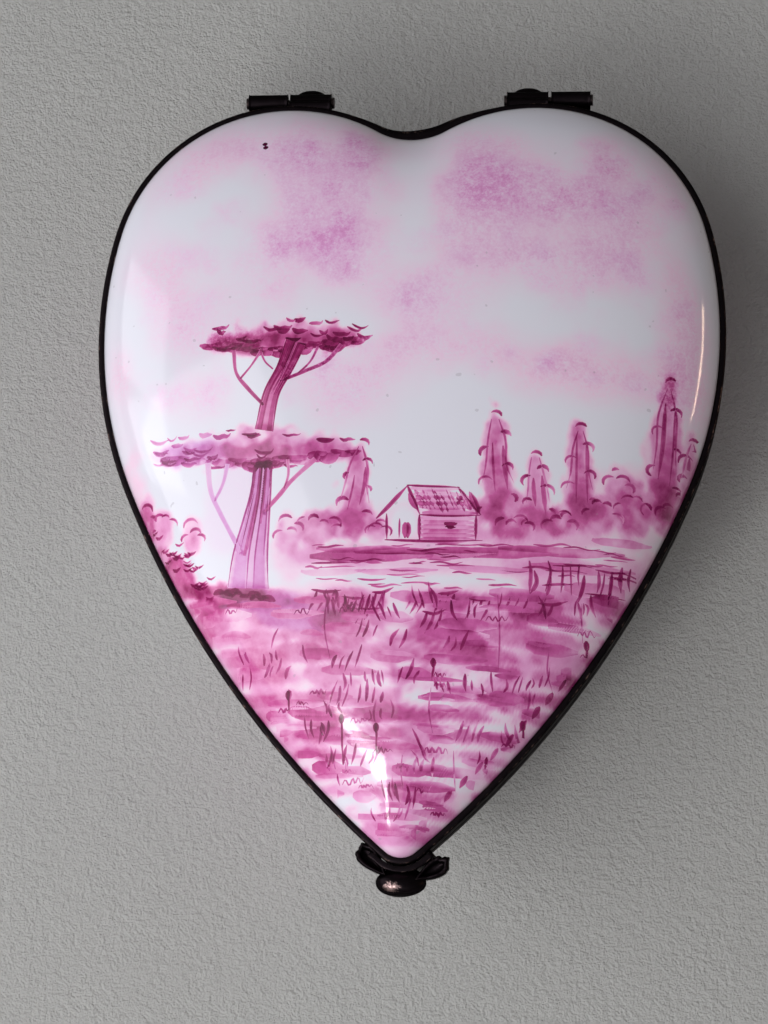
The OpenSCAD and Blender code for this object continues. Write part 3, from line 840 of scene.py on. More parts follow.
def paint_row(c, y):
    """One row of the meadow: broad washes end to end, with a few dabs of the brush over each."""
    reach = meadow_half_width(y)
    x = -reach - 2 + c.pick(0, 3)
    while x < reach + 0.5:
        length = c.pick(5.0, 13.0) * (0.45 + 0.55 * reach / 24)
        middle = x + length / 2
        dark = c.pick(0.55, 1.2) * side_dark(x) * np.interp(y, [-34, -22], [0.75, 1.0])
        at, size = (middle, c.near(y, 0.3)), (length * 0.6, c.pick(0.6, 1.15))
        c.wash(at, size, dark, side_hue(middle), c.near(-2.5, 3), soft=0.25, lump=2.2, wet=0.15)
        for _ in range(c.rng.integers(1, 4)):
            x0 = x + c.pick(-0.1, 0.6) * length
            x1 = min(x0 + c.pick(2.0, 6.0), reach + 1)
            if x1 > x0 + 1:
                level = c.near(y, 0.75)
                points = [(x0, level + 0.1), ((x0 + x1) / 2, c.near(level, 0.15)), (x1, level - 0.12)]
                width, amount = c.pick(0.35, 1.1), c.pick(0.3, 0.75) * side_dark(x)
                c.stroke(points, width, amount, side_hue(x0), "dabs", fade=0.4, belly=0.1)
        x += length + c.pick(-1.5, 1.5)


def paint_fields(c):
    """The meadow: a pale ground, then long broad brush marks with light showing between them."""
    for y in np.arange(-12.8, -37, -1.6):
        reach = meadow_half_width(y) + 2.5
        for x in np.arange(-reach, reach, 3.2):
            at = (c.near(x + 1.6, 0.6), c.near(y, 0.3))
            c.wash(at, (3.4, 1.6), c.pick(0.28, 0.5), side_hue(x), soft=0.8, lump=2.5)
    y = -13.2
    while y > -34.4:
        paint_row(c, y)
        y -= c.pick(1.45, 2.0)
    for _ in range(36):
        y = c.pick(-33, -14)
        x = c.pick(-1, 1) * meadow_half_width(y) * 0.9
        size, amount = (c.pick(1.4, 4.2), c.pick(0.3, 0.65)), c.pick(0.5, 0.9)
        c.wipe((x, y), size, amount, c.near(-3, 5), soft=0.4, ragged=0.6, lump=1.4)
    for at, size, dark, lilac, turn, soft, ragged, lump, wet in (
        ((-11.0, -13.9), (6.5, 1.9), 0.5, 0.9, -14, 0.35, 0.5, 2.0, 0.2),
        ((-5.5, -15.2), (4.0, 1.0), 0.75, 0.2, -12, 0.3, 0.4, 2.0, 0.3),
        ((-18.6, -15.2), (1.5, 2.3), 0.5, 0.0, -24, 0.2, 0.3, 2.0, 0.3),
        ((1.0, -17.6), (7.5, 1.3), 0.5, 0.2, -3, 0.3, 0.5, 2.2, 0.2),
        ((0.5, -22.8), (6.5, 1.2), 0.45, 0.2, -3, 0.3, 0.5, 2.2, 0.2),
        ((-13.2, -19.0), (3.4, 2.6), 0.45, 0.0, -20, 0.3, 0.5, 2.0, 0.2),
    ):
        c.wash(at, size, dark, lilac, turn, soft, ragged, lump, wet=wet)


def tick_cluster(c, x, y):
    """A few short leaning marks side by side."""
    lean = c.pick(-0.5, 0.5)
    dark = c.pick(1.6, 3.6)
    for k in range(c.rng.integers(1, 5)):
        length = c.pick(0.9, 2.1)
        foot = np.array([x + k * c.pick(0.5, 0.8), c.near(y, 0.25)])
        tip = foot + [lean * length + c.pick(-0.15, 0.15), length]
        bend = (foot + tip) / 2 + c.pick(-0.22, 0.22, 2)
        points = [tip, bend, foot] if c.rng.random() < 0.5 else [foot, bend, tip]
        c.stroke(points, c.pick(0.13, 0.27), dark * c.pick(0.8, 1.1), c.pick(0.1, 0.35), "grass", fade=0.55)


def squiggle(c, x, y):
    """A small scribble of grass."""
    size = c.pick(0.3, 0.55)
    points = [(x, y)]
    for k in range(c.rng.integers(5, 9)):
        x += size * c.pick(0.35, 0.7)
        points.append((x, y + (size if k % 2 == 0 else 0) + c.pick(-0.1, 0.1)))
    c.stroke(points, c.pick(0.12, 0.2), c.pick(1.5, 2.9), 0.25, "grass", fade=0.3)


def drop(c, x, y, length):
    """A seed head: a blob on a stalk that thins downwards."""
    dark = c.pick(2.9, 4.0)
    sway = c.pick(-0.25, 0.35)
    stalk = [(x, y), (x + 0.05, y - length * 0.3), (x + sway * 0.6, y - length * 0.7), (x + sway, y - length)]
    c.stroke(stalk, 0.17, dark, 0.1, "grass", fade=0.2)
    c.stroke([(x - 0.02, y + 0.25), (x, y - 0.1), (x + 0.02, y - 0.65)], 0.42, dark, 0.1, "grass", fade=0.3)


def twig(c, x, y):
    """A leaning twig with side shoots, like a low broken fence."""
    reach = c.pick(1.7, 2.8)
    points = [(x, y), (x + reach * 0.5, c.near(y - 0.1, 0.15)), (x + reach, c.near(y + 0.15, 0.3))]
    c.stroke(points, 0.24, c.pick(2.2, 3.3), 0.15, "meadow")
    for k in range(c.rng.integers(2, 4)):
        foot = x + reach * (0.2 + 0.3 * k)
        fall = c.pick(0.8, 2.1)
        points = [(foot, y), (foot - 0.15 * fall, y - fall * 0.5), (foot - 0.45 * fall, y - fall)]
        c.stroke(points, c.pick(0.14, 0.24), c.pick(1.8, 3.0), 0.2, "meadow")


STALKS = [  # top x, top y, length
    (-6.6, -13.0, 5.6), (9.0, -12.6, 7.0), (3.0, -21.0, 4.0), (-17.0, -17.6, 5.0), (5.0, -26.5, 3.6),
    (-11.0, -25.4, 4.4), (13.6, -17.4, 3.6), (-20.6, -12.6, 3.2), (0.4, -27.0, 3.0), (16.6, -13.0, 3.4),
]
TWIGS = [
    (-8.0, -12.2), (-5.2, -12.9), (-2.4, -12.5), (0.8, -12.9), (3.6, -12.6),
    (6.4, -13.0), (9.6, -12.7), (12.6, -13.2), (-3.8, -14.0), (2.2, -14.2),
]
RAILS = [(11.2, 14.4, -10.1), (14.9, 17.2, -9.6), (17.8, 20.9, -9.9), (13.0, 15.8, -11.6)]  # from x, to x, y
DROPS = [
    (-5.2, -23.6, 3.6), (11.2, -23.8, 2.8), (9.8, -28.0, 2.4), (-10.2, -21.4, 1.6), (3.2, -18.6, 1.8),
    (14.8, -25.0, 1.8), (-15.0, -21.0, 2.4), (-2.0, -24.4, 2.6), (7.4, -31.0, 1.6), (-9.0, -29.0, 1.8),
    (17.0, -16.4, 1.6),
]


def paint_meadow(c):
    """The bank and the fields, then everything that grows on them."""
    paint_far_bank(c)
    paint_fields(c)
    for x, y, length in STALKS:
        points = [(x, y), (c.near(x, 0.2), y - length / 2), (c.near(x + 0.2, 0.3), y - length)]
        c.stroke(points, 0.12, 1.5, 0.3, "grass", fade=0.1)
    for x, y in TWIGS:
        twig(c, x, y)
    for k in range(13):
        x = c.near(11.8 + 0.75 * k, 0.4)
        y = c.near(-9.9, 0.6)
        points = [(x, y), (c.near(x, 0.25), y - 1.1), (c.near(x - 0.25, 0.4), y - c.pick(1.3, 3.2))]
        c.stroke(points, c.pick(0.14, 0.32), c.pick(1.6, 3.1), 0.2, "meadow")
    for x0, x1, y in RAILS:
        points = [(x0, y), ((x0 + x1) / 2, c.near(y, 0.25)), (x1, c.near(y, 0.3))]
        c.stroke(points, 0.2, 2.2, 0.2, "meadow")
    for _ in range(78):
        y = -13.6 - 19.5 * c.rng.random() ** 1.7
        x = c.pick(-1, 1) * meadow_half_width(y) * 0.94
        (squiggle if c.rng.random() < 0.18 else tick_cluster)(c, x, y)
    for x, y, length in DROPS:
        drop(c, x, y, length)
    for y in np.linspace(-31, -13, 15):
        x = meadow_half_width(y) * 0.93
        points = [(x, y + 1.1), (x - 0.4, y + 0.5), (x - 0.7, y)]
        c.stroke(points, c.pick(0.18, 0.4), c.pick(1.6, 3.0), 0.2, "grass")


def paint_lid():
    """The whole landscape. Its cells are small enough for the thinnest stroke."""
    c = Canvas((-31, -37.5), (31, 38.5), 0.05, seed=21)
    for paint in (paint_sky, paint_tree_line, paint_meadow, paint_cottage, paint_pine):
        paint(c)
    return c


# ----------------------------------------------------------------------------
# Materials
# ----------------------------------------------------------------------------
def srgb(r, g, b):
    """A colour given as 0 to 255, as linear RGBA."""
    channels = [c / 255 for c in (r, g, b)]
    return [c / 12.92 if c <= 0.04045 else ((c + 0.055) / 1.055) ** 2.4 for c in channels] + [1.0]


class Nodes:
    """Short words for building a material's node tree."""

    def __init__(self, name):
        self.material = bpy.data.materials.new(name)
        self.material.use_nodes = True
        self.tree = self.material.node_tree
        self.surface = self.tree.nodes["Principled BSDF"]

    def put(self, socket, value):
        """Links a socket to another, or sets its constant."""
        if isinstance(value, bpy.types.NodeSocket):
            self.tree.links.new(value, socket)
        else:
            socket.default_value = value

    def set(self, **values):
        """Sets the surface's inputs, with an underscore for each space in their names."""
        for name, value in values.items():
            self.put(self.surface.inputs[name.replace("_", " ")], value)

    def attribute(self, name):
        """A value that the mesh's vertices carry."""
        node = self.tree.nodes.new("ShaderNodeAttribute")
        node.attribute_name = name
        return node.outputs["Fac"]

    def place(self):
        """The position in the piece's own space."""
        return self.tree.nodes.new("ShaderNodeTexCoord").outputs["Object"]

    def noise(self, per_metre, detail=2.0, roughness=0.5, offset=(0, 0, 0)):
        """Noise from 0 to 1 in the piece's own space."""
        node = self.tree.nodes.new("ShaderNodeTexNoise")
        shift = self.tree.nodes.new("ShaderNodeVectorMath")
        shift.inputs[1].default_value = offset
        self.put(shift.inputs[0], self.place())
        self.put(node.inputs["Vector"], shift.outputs[0])
        node.inputs["Scale"].default_value = per_metre
        node.inputs["Detail"].default_value = detail
        node.inputs["Roughness"].default_value = roughness
        return node.outputs["Fac"]

    def math(self, operation, a, b=0.0, c=0.0, clamp=False):
        node = self.tree.nodes.new("ShaderNodeMath")
        node.operation, node.use_clamp = operation, clamp
        for socket, value in zip(node.inputs, (a, b, c)):
            self.put(socket, value)
        return node.outputs[0]

    def times(self, a, b, clamp=False):
        return self.math("MULTIPLY", a, b, clamp=clamp)

    def plus(self, a, b):
        return self.math("ADD", a, b)

    def ramp(self, factor, stops):
        """Colours at given positions, from a list of (position, colour)."""
        node = self.tree.nodes.new("ShaderNodeValToRGB")
        elements = node.color_ramp.elements
        while len(elements) < len(stops):
            elements.new(0.5)
        for element, (position, colour) in zip(elements, stops):
            element.position, element.color = position, colour
        self.put(node.inputs["Fac"], factor)
        return node.outputs["Color"]

    def mix(self, factor, a, b):
        node = self.tree.nodes.new("ShaderNodeMix")
        node.data_type = "RGBA"
        self.put(node.inputs["Factor"], factor)
        self.put(node.inputs[6], a)
        self.put(node.inputs[7], b)
        return node.outputs[2]

    def bump(self, height, strength, distance):
        node = self.tree.nodes.new("ShaderNodeBump")
        node.inputs["Strength"].default_value = strength
        node.inputs["Distance"].default_value = distance
        self.put(node.inputs["Height"], height)
        return node.outputs["Normal"]


GLAZE = srgb(226, 225, 234)
ROSE = [
    (0.0, GLAZE), (0.06, srgb(240, 206, 226)), (0.15, srgb(232, 160, 203)), (0.3, srgb(203, 92, 152)),
    (0.5, srgb(150, 36, 96)), (0.75, srgb(106, 14, 62)), (1.0, srgb(76, 6, 42)),
]
LILAC = [
    (0.0, GLAZE), (0.06, srgb(230, 206, 233)), (0.15, srgb(218, 160, 214)), (0.3, srgb(194, 98, 176)),
    (0.5, srgb(142, 44, 114)), (0.75, srgb(100, 18, 74)), (1.0, srgb(74, 8, 48)),
]


def glaze_material(name, specular=0.5, coat=0.25):
    """Glossy glaze over painted pigment.

    Vertex values give the pigment's density, hue and sponge grain, and fine noise breaks them up.
    """
    n = Nodes(name)
    pigment = n.attribute("pigment")
    sponge = n.math("SUBTRACT", n.noise(4600, 2.0, 0.6), 0.5)
    fine = n.math("SUBTRACT", n.noise(1500, 2.0, 0.6, (3, 1, 2)), 0.5)
    speckle = n.times(
        n.plus(sponge, n.times(fine, 0.6)),
        n.times(n.attribute("grain"), 1.7),
    )
    factor = n.plus(1.0, n.plus(speckle, n.times(fine, 0.5)))
    density = n.math("DIVIDE", n.times(pigment, n.math("MAXIMUM", factor, 0.15)), FULL)
    paint = n.mix(n.attribute("lilac"), n.ramp(density, ROSE), n.ramp(density, LILAC))
    flecks = n.math("GREATER_THAN", n.noise(1500, 0.0, 0.5, (7, 0, 0)), 0.85)
    paint = n.mix(n.times(flecks, 0.3), paint, srgb(150, 140, 150))
    n.set(Base_Color=paint, Roughness=0.1, IOR=1.5)
    n.set(Specular_IOR_Level=specular, Coat_Weight=coat, Coat_Roughness=0.04)
    ripples = n.times(n.times(n.noise(1300, 2.0), n.math("MINIMUM", pigment, 1.0)), 0.5)
    n.set(Normal=n.bump(n.plus(n.noise(120, 2.0), ripples), 0.14, 0.0002))
    return n.material


def metal_material(name, body, wear_and_sheen, roughness):
    """Dark patinated bronze, lighter in uneven specks where a vertex value is high: edge wear, and a painted
    highlight on the knob.
    """
    n = Nodes(name)
    patches = n.noise(900, 4.0, 0.65)
    specks = n.noise(5200, 3.0, 0.7, (5, 2, 1))
    # Where the bronze turns lighter: wear on edges and corners, and on the knob a painted highlight.
    wear_and_sheen_mask = n.times(
        n.attribute("wear_and_sheen"),
        n.plus(n.times(patches, 1.2), n.times(specks, 0.9)),
    )
    amount = n.math("SMOOTH_MIN", n.times(n.math("SUBTRACT", wear_and_sheen_mask, 1.05), 3.0, clamp=True), 1.0, 0.1)
    n.set(
        Base_Color=n.mix(amount, n.mix(patches, body, [c * 1.9 for c in body[:3]] + [1.0]), wear_and_sheen),
        Metallic=0.88,
        Roughness=n.plus(roughness, n.times(n.math("SUBTRACT", patches, 0.5), 0.35)),
    )
    n.set(Normal=n.bump(n.noise(2600, 3.0, 0.6), 0.35, 0.00006), Specular_Tint=[0.25, 0.22, 0.22, 1.0])
    return n.material


def grained_material(name, colour, roughness, metallic=0.0):
    """A plain material with slightly darker patches and a fine grain."""
    n = Nodes(name)
    patches = n.noise(700, 3.0, 0.6)
    darker = [c * 0.7 for c in colour[:3]] + [1.0]
    n.set(Base_Color=n.mix(patches, colour, darker), Roughness=roughness, Metallic=metallic)
    n.set(Normal=n.bump(n.noise(3000, 2.0, 0.6), 0.3, 0.00004))
    return n.material


BRONZE = [0.007, 0.005, 0.006, 1.0]
RUBBED = [0.30, 0.20, 0.17, 1.0]
glaze = glaze_material("lid_glaze")
stroke_glaze = glaze_material("painted_strokes", 0.28, 0.08)
base_glaze = glaze_material("base_glaze")
rim_metal = metal_material("rim_metal", BRONZE, RUBBED, 0.42)
hinge_metal = metal_material("hinge_metal", BRONZE, RUBBED, 0.40)
# Its lighter, rosy colour is edge wear on the plate and the bow, and a painted highlight on the knob.
clasp_metal = metal_material("clasp_metal", BRONZE, [0.46, 0.32, 0.30, 1.0], 0.36)
bright_metal = grained_material("bright_metal", [0.058, 0.042, 0.04, 1.0], 0.4, 0.9)
plaster = grained_material("plaster", srgb(204, 198, 190), 0.9)


# ----------------------------------------------------------------------------
# Porcelain
# ----------------------------------------------------------------------------
LID_ROWS = 100  # rings of the dome's outside
INNER_ROWS = 20  # rings of its inside
EDGE_CUT = 0.06  # how much the porcelain's sharp edge is cut back


def soften(layer, reach):
    """A layer averaged twice over squares of about that many cells, so that the shell's mesh can carry it."""
    for _ in range(2):
        for axis in (0, 1):
            margins = [(reach, reach) if a == axis else (0, 0) for a in (0, 1)]
            total = np.cumsum(np.pad(layer, margins, mode="edge"), axis=axis)
            n = layer.shape[axis]
            high = np.take(total, range(2 * reach, 2 * reach + n), axis=axis)
            low = np.take(total, range(0, n), axis=axis)
            layer = (high - low) / (2 * reach)
    return layer


def build_lid(canvas):
    """The domed shell, with the washes as vertex values."""
    edge_z = PARTING_Z + FLANGE_T + BEDDING_T
    inner_h = DOME_H - WALL
    rings = [contour(0, s, DOME_Z + DOME_H * crown(s)) for s in even_shares(LID_ROWS, 30.0, DOME_H)]
    rings += [ring_at(0, DOME_Z - 0.5), ring_at(0, edge_z + 0.05)]
    rings += [ring_at(-EDGE_CUT, edge_z), ring_at(-WALL, edge_z)]
    inner_shares = even_shares(INNER_ROWS, 27.0, inner_h)[::-1]
    rings += [contour(-WALL, s, DOME_Z + inner_h * crown(s)) for s in inner_shares]
    points, faces = rings_with_poles([0, MID_Y, DOME_Z + DOME_H], rings, [0, MID_Y, DOME_Z + inner_h])
    shell = make_piece("lid_shell", points, faces, glaze, "lid")
    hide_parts("lid_porcelain")
    outside = np.zeros(len(points))
    outside[: (LID_ROWS + 2) * RING] = 1
    outside[-2] = 1  # the pole on top
    for name, layer in (("pigment", canvas.washes), ("lilac", canvas.lilac), ("grain", canvas.grain)):
        set_values(shell, name, canvas.sample(soften(layer, 3), points[:, :2]) * outside)


STROKE_LIFT = 0.006  # height of the first stroke's middle over the glaze
STROKE_STACK = 0.016  # how much higher the last stroke is
STROKE_SINK = 0.012  # depth of a stroke's edges in the glaze
STROKE_UNDER = 0.03  # depth of its underside
PAINT_EDGE = 0.988  # strokes stop at this contour, just inside the rim


def build_strokes(canvas):
    """The brush strokes as thin closed lenses on the glaze, each a little higher than the one before."""
    total = sum(len(group) for group in canvas.strokes.values())
    drawn = 0
    for group, strokes in canvas.strokes.items():
        points, normals, faces, values = [], [], [], [[], [], []]
        first = 0
        for columns, samples in strokes:
            drawn += 1
            inside = share_at(columns.reshape(-1, 2)).reshape(-1, 5).max(axis=1) < PAINT_EDGE
            start, stop = longest_run(inside)
            m = stop - start
            if m < 3:
                continue
            columns = columns[start:stop]
            samples = [sample.reshape(-1, 5)[start:stop].ravel() for sample in samples]
            high = STROKE_LIFT + STROKE_STACK * drawn / total
            lift = np.tile([-STROKE_SINK, high * 0.9, high, high * 0.9, -STROKE_SINK], m)
            flat = columns.reshape(-1, 2)
            top, up = on_dome(flat, lift)
            bottom, _ = on_dome(columns[:, [1, 2, 3]].reshape(-1, 2), np.full(3 * m, -STROKE_UNDER))
            points += [top, bottom]
            normals += [up, -up.reshape(m, 5, 3)[:, 1:4].reshape(-1, 3)]
            faces += strip_faces(m, first)
            first += 8 * m
            for k, sample in enumerate(samples):
                values[k] += [sample, sample.reshape(m, 5)[:, 1:4].ravel()]
        piece = make_piece(
            "painted_" + group, np.vstack(points), faces, stroke_glaze,
            "lid", recalculate=False,
        )
        for name, parts in zip(("pigment", "lilac", "grain"), values):
            set_values(piece, name, np.concatenate(parts))
        piece.data.normals_split_custom_set_from_vertices(np.vstack(normals).tolist())


def longest_run(flags):
    """Start and end of the longest run of True."""
    edges = np.flatnonzero(np.diff(np.concatenate([[0], flags.astype(int), [0]])))
    if len(edges) == 0:
        return 0, 0
    starts, stops = edges[::2], edges[1::2]
    best = int(np.argmax(stops - starts))
    return int(starts[best]), int(stops[best])


def strip_faces(m, first):
    """Outward faces of one closed strip: 5 columns on top, 3 underneath, and a cap at each end."""
    top = first + np.arange(5 * m).reshape(m, 5)
    under = first + 5 * m + np.arange(3 * m).reshape(m, 3)
    loop = np.hstack([top, under[:, ::-1]])
    n = loop.shape[1]
    faces = []
    for j in range(m - 1):
        for i in range(n):
            k = (i + 1) % n
            faces.append([int(loop[j, i]), int(loop[j + 1, i]), int(loop[j + 1, k]), int(loop[j, k])])
    faces.append([int(v) for v in loop[0]])
    faces.append([int(v) for v in loop[-1][::-1]])
    return faces


def build_bowl():
    """The bowl: glazed and sponged with faint clouds outside, white inside, with a foot ring."""
    edge_z, side_z = bowl_high[2], base_rim_low[2] + BAND_OVER
    foot_z, recess_z = 0.9, 0.8
    floor_z = recess_z + WALL
    ring_in = FOOT - 2.2 / HALF_W
    lean = np.linspace(0, 1, 33)[1:]
    ease = np.sin(lean * math.pi / 2)
    shares = FOOT + (1 - FOOT) * ease
    rings = [contour(-WALL, s, floor_z) for s in np.linspace(0.06, FOOT, 14)]
    rings += [contour(-WALL, s, floor_z + (side_z - floor_z) * (1 - crown(e))) for s, e in zip(shares, ease)]
    rings += [ring_at(-WALL, edge_z), ring_at(-EDGE_CUT, edge_z), ring_at(0, edge_z - EDGE_CUT)]
    rings += [contour(0, s, side_z - (side_z - foot_z) * crown(e)) for s, e in zip(shares[::-1], ease[::-1])]
    outer = range(len(rings) - len(shares), len(rings))
    foot_section = [
        (FOOT, foot_z), (FOOT, 0.12), (FOOT - 0.004, 0), (ring_in + 0.004, 0),
        (ring_in, 0.12), (ring_in - 0.02, recess_z), (ring_in * 0.5, recess_z),
    ]
    rings += [contour(0, s, z) for s, z in foot_section]
    points, faces = rings_with_poles([0, MID_Y, floor_z], rings, [0, MID_Y, recess_z])
    shell = make_piece("bowl_shell", points, faces, base_glaze, "box")
    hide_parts("base_porcelain")
    pigment, lilac, grain = np.zeros(len(points)), np.full(len(points), 0.3), np.zeros(len(points))
    noise = Canvas((0, 0), (1, 1), 1.0, seed=5).noise
    turns = np.arange(RING) / RING
    for ring in outer:
        here = slice(ring * RING, (ring + 1) * RING)
        x = (2 + np.cos(2 * np.pi * turns)) * 9
        y = (2 + np.sin(2 * np.pi * turns)) * 9
        z = points[here, 2]
        height = (z - foot_z) / (side_z - foot_z)
        level = 0.3 + 0.7 * noise(x, y + 40, 2.6)
        band = np.exp(-(((height - level) / 0.3) ** 2))
        cloud = smooth_step(0.36, 0.68, noise(x, y, 3.4))
        pigment[here] = 0.85 * cloud * band * smooth_step(0.05, 0.3, height)
        grain[here] = 1.0
        lilac[here] = noise(x + 5, y + z, 6.0)
    for name, values in (("pigment", pigment), ("lilac", lilac), ("grain", grain)):
        set_values(shell, name, values)


# ----------------------------------------------------------------------------
# Metal
# ----------------------------------------------------------------------------
def build_rim(name, node, body, corners, radii):
    """A rim swept round the heart from a section of (offset, height) corners."""
    profile, wear_and_sheen = fillet(corners, radii)
    points, faces = swept_band(profile)
    rim = make_piece(name, points, faces, rim_metal, body)
    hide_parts(node)
    set_values(rim, "wear_and_sheen", np.repeat(wear_and_sheen, RING))


def build_rims():
    """The bowl's rim with the lip that stands inside the lid, and the lid's rim."""
    p, low = PARTING_Z, PARTING_Z + RIM_GAP
    lip = -LIP_IN - LIP_T
    bottom = base_rim_low[2]
    build_rim(
        "bowl_rim", "base_rim", "box",
        [(BAND_T, bottom), (BAND_T, p), (-LIP_IN, p), (-LIP_IN, p + LIP_H),
         (lip, p + LIP_H), (lip, p - FLANGE_T), (0, p - FLANGE_T), (0, bottom)],
        [0.22, 0.2, 0.03, 0.14, 0.14, 0.03, 0, 0.1],
    )
    top = lid_rim_high[2]
    inner = -LIP_IN + 0.2
    build_rim(
        "lid_rim_band", "lid_rim", "lid",
        [(BAND_T, low), (BAND_T, top), (0, top), (0, p + FLANGE_T), (inner, p + FLANGE_T), (inner, low)],
        [0.16, 0.3, 0.12, 0, 0.03, 0.03],
    )


def tube_between(loops, xs, inset):
    """A closed tube along X with rounded ends.

    loops(x) gives its outer and its inner loop there, as (y, z) points.
    """
    def ring(points, x):
        return np.column_stack([np.full(len(points), x), points])

    x0, x1 = xs[0], xs[-1]
    first, hole_0 = loops(x0)
    last, hole_1 = loops(x1)
    rings = [ring(hole_0, x0), ring(shrink(first, inset), x0)]
    rings += [ring(loops(x)[0], x) for x in [x0 + abs(inset) * 0.7, *xs[1:-1], x1 - abs(inset) * 0.7]]
    rings += [ring(shrink(last, inset), x1), ring(hole_1, x1)]
    wear_and_sheen = np.zeros(len(rings))
    wear_and_sheen[[1, 2, -3, -2]] = 0.8
    n = len(rings[0])
    return np.vstack(rings), ring_faces(len(rings), n, wrap_rings=True), np.repeat(wear_and_sheen, n)


def shrink(loop, by):
    """A loop of (y, z) points moved inwards by a small distance."""
    step = np.roll(loop, -1, axis=0) - np.roll(loop, 1, axis=0)
    normal = np.column_stack([step[:, 1], -step[:, 0]])
    normal /= np.linalg.norm(normal, axis=1)[:, None] + 1e-9
    return loop + normal * by


def ellipsoid(at, size, tilt=0.0, rows=16, columns=28, swell=None):
    """A closed ellipsoid with its long axis along X, tilted about X by degrees."""
    rings = []
    for a in np.linspace(0, np.pi, rows + 2)[1:-1]:
        b = np.linspace(0, 2 * np.pi, columns, endpoint=False)
        r = np.sin(a) * (1 + (swell(a, b) if swell else 0 * b))
        x = np.full(columns, -math.cos(a) * size[0])
        rings.append(np.column_stack([x, r * np.cos(b) * size[1], r * np.sin(b) * size[2]]))
    points, faces = rings_with_poles([-size[0], 0, 0], rings, [size[0], 0, 0])
    c, s = math.cos(math.radians(tilt)), math.sin(math.radians(tilt))
    turn = np.array([[1, 0, 0], [0, c, -s], [0, s, c]])
    return points @ turn.T + at, faces


def join(*parts):
    """Several closed skins as one list of points and one of faces."""
    points, faces, first = [], [], 0
    for some, theirs in parts:
        points.append(some)
        faces += [[v + first for v in face] for face in theirs]
        first += len(some)
    return np.vstack(points), faces


def build_hinge(side):
    """The two knuckles of one hinge: barrels with a leaf that follows the rim's wall."""
    name = "right" if side > 0 else "left"
    wall = outline(BAND_T - 0.25, 720)
    wall = wall[(wall[:, 0] > 5) & (wall[:, 1] > BEHIND_Y)]
    wall = wall[np.argsort(wall[:, 0])]
    pin_low, pin_high = node_box(f"{name}_hinge_pin")
    axis = np.array([(pin_low[1] + pin_high[1]) / 2, (pin_low[2] + pin_high[2]) / 2])

    def outer(x, up):
        back = np.interp(x, wall[:, 0], wall[:, 1]) - axis[0]
        corners = [(back, 0.03), (back, 1.5), (-0.36, 1.5), (-0.08, KNUCKLE_R * 0.99)]
        leaf, _ = fillet(corners, [0, 0, 0.22, 0.0], 5)
        arc = np.radians(np.linspace(84, -175, 30))
        barrel = KNUCKLE_R * np.column_stack([np.cos(arc), np.sin(arc)])
        return np.vstack([leaf, barrel]) * [1, up]

    for body, up, bore in (("lid", 1, 0.40), ("box", -1, 0.36)):
        node = f"{name}_{'lid' if body == 'lid' else 'base'}_knuckle"
        low, high = node_box(node)
        x0, x1 = sorted((abs(low[0]), abs(high[0])))

        def loops(x, up=up, bore=bore):
            loop = outer(x, up)
            hole = loop / np.linalg.norm(loop, axis=1)[:, None] * bore
            return loop, hole

        points, faces, wear_and_sheen = tube_between(loops, np.linspace(x0, x1, 14), 0.09 * -up)
        points = points + [0, axis[0], axis[1]]
        if body == "lid":
            reach = high[1] - axis[0]
            lug_at = [(x0 + x1) / 2, axis[0] + reach - 0.88, axis[1] - 0.12]
            lug_points, lug_faces = ellipsoid(lug_at, (1.5, 0.86, 0.42), -12)
            points, faces = join((points, faces), (lug_points, lug_faces))
            wear_and_sheen = np.concatenate([wear_and_sheen, np.full(len(lug_points), 0.75)])
        points = points * [side, 1, 1]
        piece = make_piece(f"{name}_{body}_barrel", points, faces, hinge_metal, body)
        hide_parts(node)
        set_values(piece, "wear_and_sheen", wear_and_sheen)


HOLE_R = 0.55
HOLE_POINTS = 40


def build_catch_plate():
    """The plate that wraps round the point, with the hole that snaps over the bead."""
    low, high = node_box("catch_plate")
    inner, outer = BAND_T + 0.12, BAND_T + 0.72
    corners = [(inner, low[2]), (outer, low[2]), (outer, high[2]), (inner, high[2])]
    profile, wear_and_sheen = fillet(corners, [0.1, 0.2, 0.2, 0.1])
    total = 720
    reach = outline(outer, total)[: total + 1]
    first = int(np.argmax((reach[:, 1] < 0) & (reach[:, 0] < high[0])))
    to_tip, from_tip = np.arange(first, total, 3), np.arange(total + 3, 2 * total - first + 1, 3)
    picks = np.concatenate([to_tip, [total], from_tip])
    rings = [np.column_stack([outline(d, total)[picks], np.full(len(picks), z)]) for d, z in profile]
    m, n = len(rings), len(picks)
    faces = ring_faces(m, n, wrap_rings=True, wrap_points=False)
    faces += [[j * n for j in range(m)], [j * n + n - 1 for j in range(m)][::-1]]
    plate = make_piece("snap_plate", np.vstack(rings), faces, clasp_metal, "lid")
    set_values(plate, "wear_and_sheen", np.repeat(wear_and_sheen, n))
    cutter_mesh = bpy.data.meshes.new("hole")
    cutter = bpy.data.objects.new("hole", cutter_mesh)
    ring_points = [
        (HOLE_R * math.cos(a), y, CATCH_Z + HOLE_R * math.sin(a))
        for y in (low[1] - 3, low[1] + 6)
        for a in np.linspace(0, 2 * np.pi, HOLE_POINTS, endpoint=False)
    ]
    caps = [list(range(HOLE_POINTS)), list(range(2 * HOLE_POINTS - 1, HOLE_POINTS - 1, -1))]
    cutter_faces = ring_faces(2, HOLE_POINTS) + caps
    cutter_mesh.from_pydata((np.array(ring_points) * MM).tolist(), [], cutter_faces)
    bpy.context.scene.collection.objects.link(cutter)
    cut = plate.modifiers.new("hole", "BOOLEAN")
    cut.object, cut.operation, cut.solver = cutter, "DIFFERENCE", "EXACT"
    apply_modifiers(plate)
    bpy.data.objects.remove(cutter)
    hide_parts("catch_plate")


def apply_modifiers(piece):
    """Bakes a piece's modifiers into its mesh."""
    evaluated = piece.evaluated_get(bpy.context.evaluated_depsgraph_get())
    mesh = bpy.data.meshes.new_from_object(evaluated)
    piece.modifiers.clear()
    piece.data = mesh


